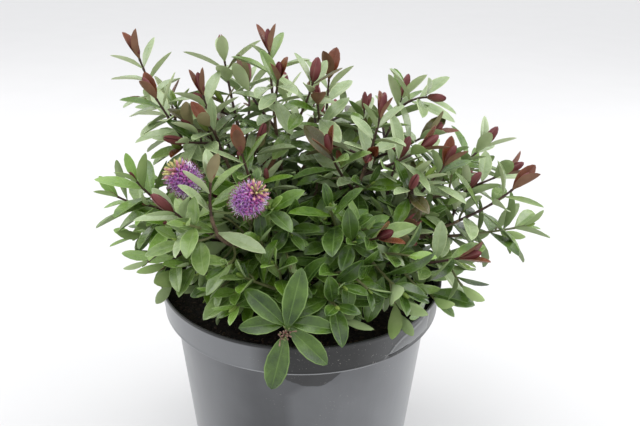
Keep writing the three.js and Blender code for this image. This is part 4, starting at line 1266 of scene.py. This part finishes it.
for kind, (upper, margin, under, rib) in LEAF_KINDS.items():
    sheen, gloss = (0.1, 0.35) if kind == "red_brown" else (0.24, 0.5)
    finishes[kind] = (
        leaf_finish(f"{kind}_upper", *upper, 0.2, sheen, gloss),
        leaf_finish(f"{kind}_margin", *margin, 0.42),
        leaf_finish(f"{kind}_underside", *under, 0.5),
        leaf_finish(f"{kind}_rib", *rib, 0.4),
    )


def kind_of(leaf):
    """A leaf's colour, by its place on its shoot and in the crown. Darker greens are chosen more often low
    and in front, as painted shade, and less in the crown's middle and at its sides; the rest are mostly grey
    green, whose pale tone is partly a painted sheen. Fresh shoots are given more mid green at their sides, as
    painted light.
    """
    tint, state, n, chance = leaf.shoot["tint"], leaf.shoot["state"], leaf.n, leaf.chance
    x, y, z = leaf.root
    if tint == "red":
        if n == 0 and leaf.shoot is flowering:
            return "bronze" if leaf.forward[1] < -0.1 else "grey_green"
        if n == 0 and state != "closed":
            return "red_brown" if state == "parted" or chance < 0.5 else "bronze"
        if n < 2 and chance < (0.05 if n else 0.4):
            return "bronze"
        middle = 75 * max(0, 1 - abs(x + 25) / 95)
        edge = 50 * min(1, max(0, (-50 - x) / 60, (x - 50) / 80))
        shade = min(1, max(0, (340 - middle - edge - z - 0.8 * y) / 110))
        if chance < 0.08 + 0.40 * shade:
            return "deep_green"
        if chance < 0.28 + 0.56 * shade:
            return "mid_green"
        return "grey_green" if chance < 0.95 else "fresh_green"
    if tint == "lime":
        return "lime" if n < 2 and chance < 0.6 else "fresh_green" if chance < 0.75 else "mid_green"
    if state == "rosette" and n < 3:
        return "deep_green"
    if n < 1 and chance < 0.3:
        return "lime"
    sunny = min(1, max(0, (-15 - x) / 70, (x - 45) / 160))
    return "fresh_green" if chance < 0.28 else "mid_green" if chance < 0.32 + 0.6 * sunny else "deep_green"


# One flat blade is set on every leaf joint and carried into each leaf's own shape: along its reach, out by
# its spread, up by its fold, down by its sag, and down again to the underside.
SHAPE = ("reach", "spread", "fold", "sag", "under")
blade = piece("blade", np.array(blade_places()) / MM, BLADE_FACES, [], sharp=BLADE_SHARP)
blade.data.attributes.new("part", "INT", "FACE").data.foreach_set("value", BLADE_PARTS)
PART_LABELS = {UPPER: "Upper", MARGIN: "Margin", UNDERSIDE: "Underside", RIB: "Rib"}
unfurl = Maker("unfurled_leaves", Blade="Object", **{label: "Material" for label in PART_LABELS.values()})


def with_place(geometry, name):
    """The geometry with each point's place kept under a name."""
    return unfurl.node(
        "GeometryNodeStoreNamedAttribute", 0, {"data_type": "FLOAT_VECTOR"}, Geometry=geometry, Name=name,
        Value=unfurl.node("GeometryNodeInputPosition"),
    )


flat = with_place(unfurl.node("GeometryNodeObjectInfo", 4, Object=unfurl.given("Blade")), "place")
joints = with_place(unfurl.given("Base"), "joint")
grown = unfurl.node("GeometryNodeInstanceOnPoints", Points=joints, Instance=flat)
grown = unfurl.node("GeometryNodeRealizeInstances", Geometry=grown)
u, s, depth = unfurl.parts(unfurl.attribute("place"))
spot = unfurl.attribute("joint")
for name, share in zip(SHAPE, (s, u, abs(u), -1 * s * s, -1 * depth)):
    spot = unfurl.vector("ADD", i0=spot, i1=unfurl.vector("SCALE", i0=unfurl.attribute(name), Scale=share))
grown = unfurl.node("GeometryNodeSetPosition", Geometry=grown, Position=spot)
grown = unfurl.node("GeometryNodeSetMaterial", Geometry=grown, Material=unfurl.given("Upper"))
laid_in = unfurl.attribute("part", "INT")
for part in (MARGIN, UNDERSIDE, RIB):
    chosen = laid_in.reckon("COMPARE", laid_in, part, 0.5)
    colour = unfurl.given(PART_LABELS[part])
    grown = unfurl.node("GeometryNodeSetMaterial", Geometry=grown, Selection=chosen, Material=colour)
unfurl.ends_with(grown)

for kind, surfaces in finishes.items():
    kept = [leaf for leaf in leaves if kind_of(leaf) == kind]
    made = piece(f"{kind}_leaves", [leaf.root for leaf in kept], [], [])
    for name, shape in zip(SHAPE, np.array([leaf.shape() for leaf in kept]).transpose(1, 0, 2)):
        carried = made.data.attributes.new(name, "FLOAT_VECTOR", "POINT")
        carried.data.foreach_set("vector", (shape * MM).ravel())
    unfurl.make(made, Blade=blade, **{PART_LABELS[part]: surfaces[part].material for part in PART_LABELS})
    for name in (*SHAPE, "place", "joint", "part"):
        made.data.attributes.remove(made.data.attributes[name])
    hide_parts(*foliage_nodes)
    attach(made, "root")
bpy.data.objects.remove(blade)


# ---- Leaf buds ---------------------------------------------------------------------------------------------
# Every shoot ends in a closed bud: two young leaves pressed face to face into a spindle, dark red on most
# shoots and green on the pale ones. On some the outer two have begun to part round a smaller bud.

BUD_RINGS = ((0.06, 0.4), (0.24, 0.85), (0.5, 1.0), (0.76, 0.84), (0.93, 0.46))  # shares of length and width
BUD_SECTION = ((-1.0, 0.0), (-0.62, 0.72), (-0.1, 1.0), (0.1, 1.0), (0.62, 0.72), (1.0, 0.0))
BUD_PARTS = (0, 0, 1, 0, 0, 0)  # the keel runs down the middle of the back


def half_bud(base, along, outward, length, width, bulge, lean):
    """One leaf of a closed bud: rounded outside, flat inside, with a keel down its back."""
    a = math.radians(lean)
    forward = along * math.cos(a) + outward * math.sin(a)
    out = outward * math.cos(a) - along * math.sin(a)
    across = np.cross(forward, out)
    points = [base]
    for s, w in BUD_RINGS:
        for u, deep in BUD_SECTION:
            points.append(base + forward * s * length + across * u * w * width / 2 + out * deep * w * bulge)
    points.append(base + forward * length + out * 0.2)
    tip = len(points) - 1
    rings = [[1 + 6 * r + k % 6 for k in range(7)] for r in range(len(BUD_RINGS))]
    faces = [(0, rings[0][k], rings[0][k + 1]) for k in range(6)]
    for low, high in zip(rings, rings[1:]):
        faces += [(low[k], high[k], high[k + 1], low[k + 1]) for k in range(6)]
    faces += [(tip, rings[-1][k + 1], rings[-1][k]) for k in range(6)]
    rim = [True] + [True, False, False, False, False, True] * len(BUD_RINGS) + [True]
    return np.array(points), faces, BUD_PARTS * (len(BUD_RINGS) + 1), np.array(rim)


dark_red = leaf_finish("dark_red_bud", (0.130, 0.028, 0.033), (0.235, 0.070, 0.072), 0.42, 0, 0.3)
red_keel = leaf_finish("red_bud_keel", (0.17, 0.065, 0.062), (0.25, 0.11, 0.10), 0.42, 0, 0.3)
green_bud = leaf_finish("green_bud", (0.17, 0.27, 0.045), (0.27, 0.36, 0.07), 0.38, 0.1)
green_keel = leaf_finish("green_bud_keel", (0.26, 0.36, 0.1), (0.34, 0.42, 0.13), 0.42)
buds = {"red": Batch(), "green": Batch()}
for number, shoot in enumerate(shoots):
    draw, size = seeded(5000 + number), shoot["bud"]
    base = shoot["curve"].point(share_below_tip(shoot, size * 0.97))
    along = shoot["curve"].tangent(share_below_tip(shoot, size * 0.5))
    if shoot["state"] == "rosette":
        along = ROSETTE_AXIS
    roll, opened = shoot["roll"] + 90, shoot["state"] == "open"
    reddened = shoot["state"] == "rosette" or shoot["tint"] != "fresh"
    if shoot["finer"] and reddened:
        reddened = next(draw) >= 0.6
    batch = buds["red" if reddened else "green"]
    for half in (0, 1):
        outward = around(along, roll + 180 * half)
        lean = 11 + 7 * next(draw) if opened else 0.9
        batch.add(*half_bud(base, along, outward, size * 0.98, size * 0.4, size * 0.15, lean))
        if opened:
            inner = around(along, roll + 90 + 180 * half)
            batch.add(*half_bud(base + along, along, inner, size * 0.7, size * 0.22, size * 0.1, 1.5))
for tint, materials in (("red", [dark_red, red_keel]), ("green", [green_bud, green_keel])):
    made = buds[tint].piece(f"{tint}_leaf_buds", materials)
    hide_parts(*foliage_nodes)
    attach(made, "root")


# ---- Flower heads ------------------------------------------------------------------------------------------
# Two blunt spikes of small four-lobed violet flowers on short green stalks, each with two long stamens. The
# lowest flowers have faded almost white, and the top is still in pink and yellow-green bud.

HEAD_RADIUS, FLORETS, FLORET_TURN, LOBE_SPREAD = 17.5, 120, 137.508, 0.95
FLOWER_TONES = {
    "violet_petal": ((0.34, 0.10, 0.44), (0.60, 0.27, 0.70)),
    "magenta_petal": ((0.46, 0.08, 0.36), (0.66, 0.20, 0.52)),
    "faded_petal": ((0.60, 0.50, 0.66), (0.86, 0.80, 0.86)),
    "stamen_thread": ((0.52, 0.24, 0.62), (0.72, 0.46, 0.80)),
    "faded_thread": ((0.70, 0.62, 0.74), (0.88, 0.84, 0.88)),
    "stamen_tip": ((0.14, 0.05, 0.07), (0.32, 0.16, 0.18)),
    "flower_bud": ((0.50, 0.14, 0.28), (0.68, 0.42, 0.32)),
    "flower_bud_green": ((0.44, 0.42, 0.13), (0.66, 0.58, 0.27)),
    "flower_stalk": ((0.11, 0.15, 0.05), (0.18, 0.22, 0.08)),
    "withered_flower": ((0.14, 0.075, 0.055), (0.34, 0.22, 0.17)),
}
slot_of = list(FLOWER_TONES).index
LOBE_FACES = [(1, 0, 4), (2, 1, 4), (3, 2, 4), (0, 3, 4), (0, 1, 5), (1, 2, 5), (2, 3, 5), (3, 0, 5)]


def floret(root, outward, turn, size):
    """A small flower's meshes and what each is: a tube, four lobes spread at its mouth, and two stamens."""
    throat = root + outward * size * 0.66
    made = [(*tube(np.array([root, throat]), [0.45, 0.8], 5), "petal")]
    for k in range(4):
        out = around(outward, turn + 90 * k)
        forward = unit(out * LOBE_SPREAD + outward * (1.25 - LOBE_SPREAD))
        side = unit(np.cross(forward, outward + out * 0.01))
        thick = np.cross(side, forward) * 0.15
        foot, lobe, wide = throat + out * 0.4, forward * (4.4 if k % 2 else 3.8), side * 1.15
        widest, middle = foot + lobe * 0.55, foot + lobe * 0.5
        edge = [foot, widest + wide, foot + lobe, widest - wide]
        made.append((np.array([*edge, middle + thick, middle - thick]), LOBE_FACES, "petal"))
    for k in (0, 1):
        out = around(outward, turn + 45 + 180 * k)
        path = throat + np.array([out * 0, outward * 2.6 + out * 0.9, outward * 5.0 + out * 2.0])
        tip = path[2] + np.array([out * 0, outward * 0.6, outward * 1.2])
        made.append((*tube(path, [0.3, 0.27, 0.24], 3), "thread"))
        made.append((*tube(tip, [0.25, 0.52, 0.2], 4), "tip"))
    return made


def petal_finish(name, dark, light):
    """A matt petal, stalk or thread of two tones."""
    made = Finish(name, Roughness=0.6, Specular_IOR_Level=0.3)
    made.feed("Base Color", made.mix(made.noise(350, 2), dark, light))
    return made


blossom = Batch()
for number, (below, foot, tip) in enumerate(FLOWERS):
    foot, tip = cylindrical(*foot), cylindrical(*tip)
    start = flowering["curve"].point(share_below_tip(flowering, below))
    axis = unit(tip - foot)
    length = np.linalg.norm(tip - foot)
    stalk = Curve(start, (start + foot) / 2 - axis * 4, foot)
    blossom.add(*tube(stalk.at(np.linspace(0, 1, 10)), np.linspace(1.2, 0.9, 10), 7), slot_of("flower_stalk"))
    blossom.add(*tube(np.linspace(foot, tip, 8), np.linspace(1.4, 0.5, 8), 7), slot_of("flower_stalk"))
    middle, draw = (foot + tip) / 2, seeded(600 + number)
    for i in range(FLORETS):
        up = -0.74 + 1.72 * (i + 0.5) / FLORETS  # how far round from the head's foot to its tip, as a cosine
        radial = around(axis, FLORET_TURN * i)
        surface = middle + HEAD_RADIUS * (axis * up * 1.12 + radial * math.sqrt(max(0.0, 1 - up * up)))
        root = foot + axis * length * (0.46 + 0.3 * up)
        outward, size = unit(surface - root), np.linalg.norm(surface - root)
        if up > 0.72 - 0.08 * next(draw):
            plump = 1.3 - 0.45 * (up - 0.7) / 0.3
            stalk = root + np.outer([0, 0.66, 0.83, 1], outward * (size - 1.6))
            points, faces = tube(stalk, [0.4, 0.5, plump, 0.4], 6)
            green = next(draw) < (0.35 if up < 0.85 else 0.75)
            blossom.add(points, faces, slot_of("flower_bud_green" if green else "flower_bud"))
            continue
        old = up < -0.52 + 0.12 * next(draw)
        pink = next(draw) < 0.16 + 0.6 * max(0.0, up)
        size *= (0.78 if old else 0.84) + 0.1 * next(draw)
        petal = "faded_petal" if old else "magenta_petal" if pink else "violet_petal"
        for points, faces, part in floret(root, outward, 90 * next(draw), size - 1.6):
            thread = "faded_thread" if old or next(draw) < 0.15 else "stamen_thread"
            blossom.add(points, faces, slot_of({"petal": petal, "thread": thread, "tip": "stamen_tip"}[part]))

# What is left of a withered head, a tuft of brown stubs, sits in the middle of the lying shoot's tip.
lying = shoots[LYING]
middle, draw = lying["curve"].point(share_below_tip(lying, 4)), seeded(640)
for i in range(26):
    outward = unit(ROSETTE_AXIS * 0.9 + around(ROSETTE_AXIS, FLORET_TURN * i) * (0.2 + 1.1 * next(draw)))
    size = 4 + 4 * next(draw)
    root = middle + around(ROSETTE_AXIS, 70 * next(draw)) * (10 * next(draw) - 5)
    points, faces = tube(root + np.outer([0, 0.5, 0.85, 1], outward * size), [0.5, 0.4, 0.75, 0.3], 5)
    blossom.add(points, faces, slot_of("withered_flower" if next(draw) < 0.7 else "flower_stalk"))
flowers = blossom.piece("flower_heads", [petal_finish(name, *tones) for name, tones in FLOWER_TONES.items()])
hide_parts("foliage_front_left")
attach(flowers, "root")


# ---- Sizes -------------------------------------------------------------------------------------------------
# The box of the dressed plant; the box of the solids was taken after the import.

low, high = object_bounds()
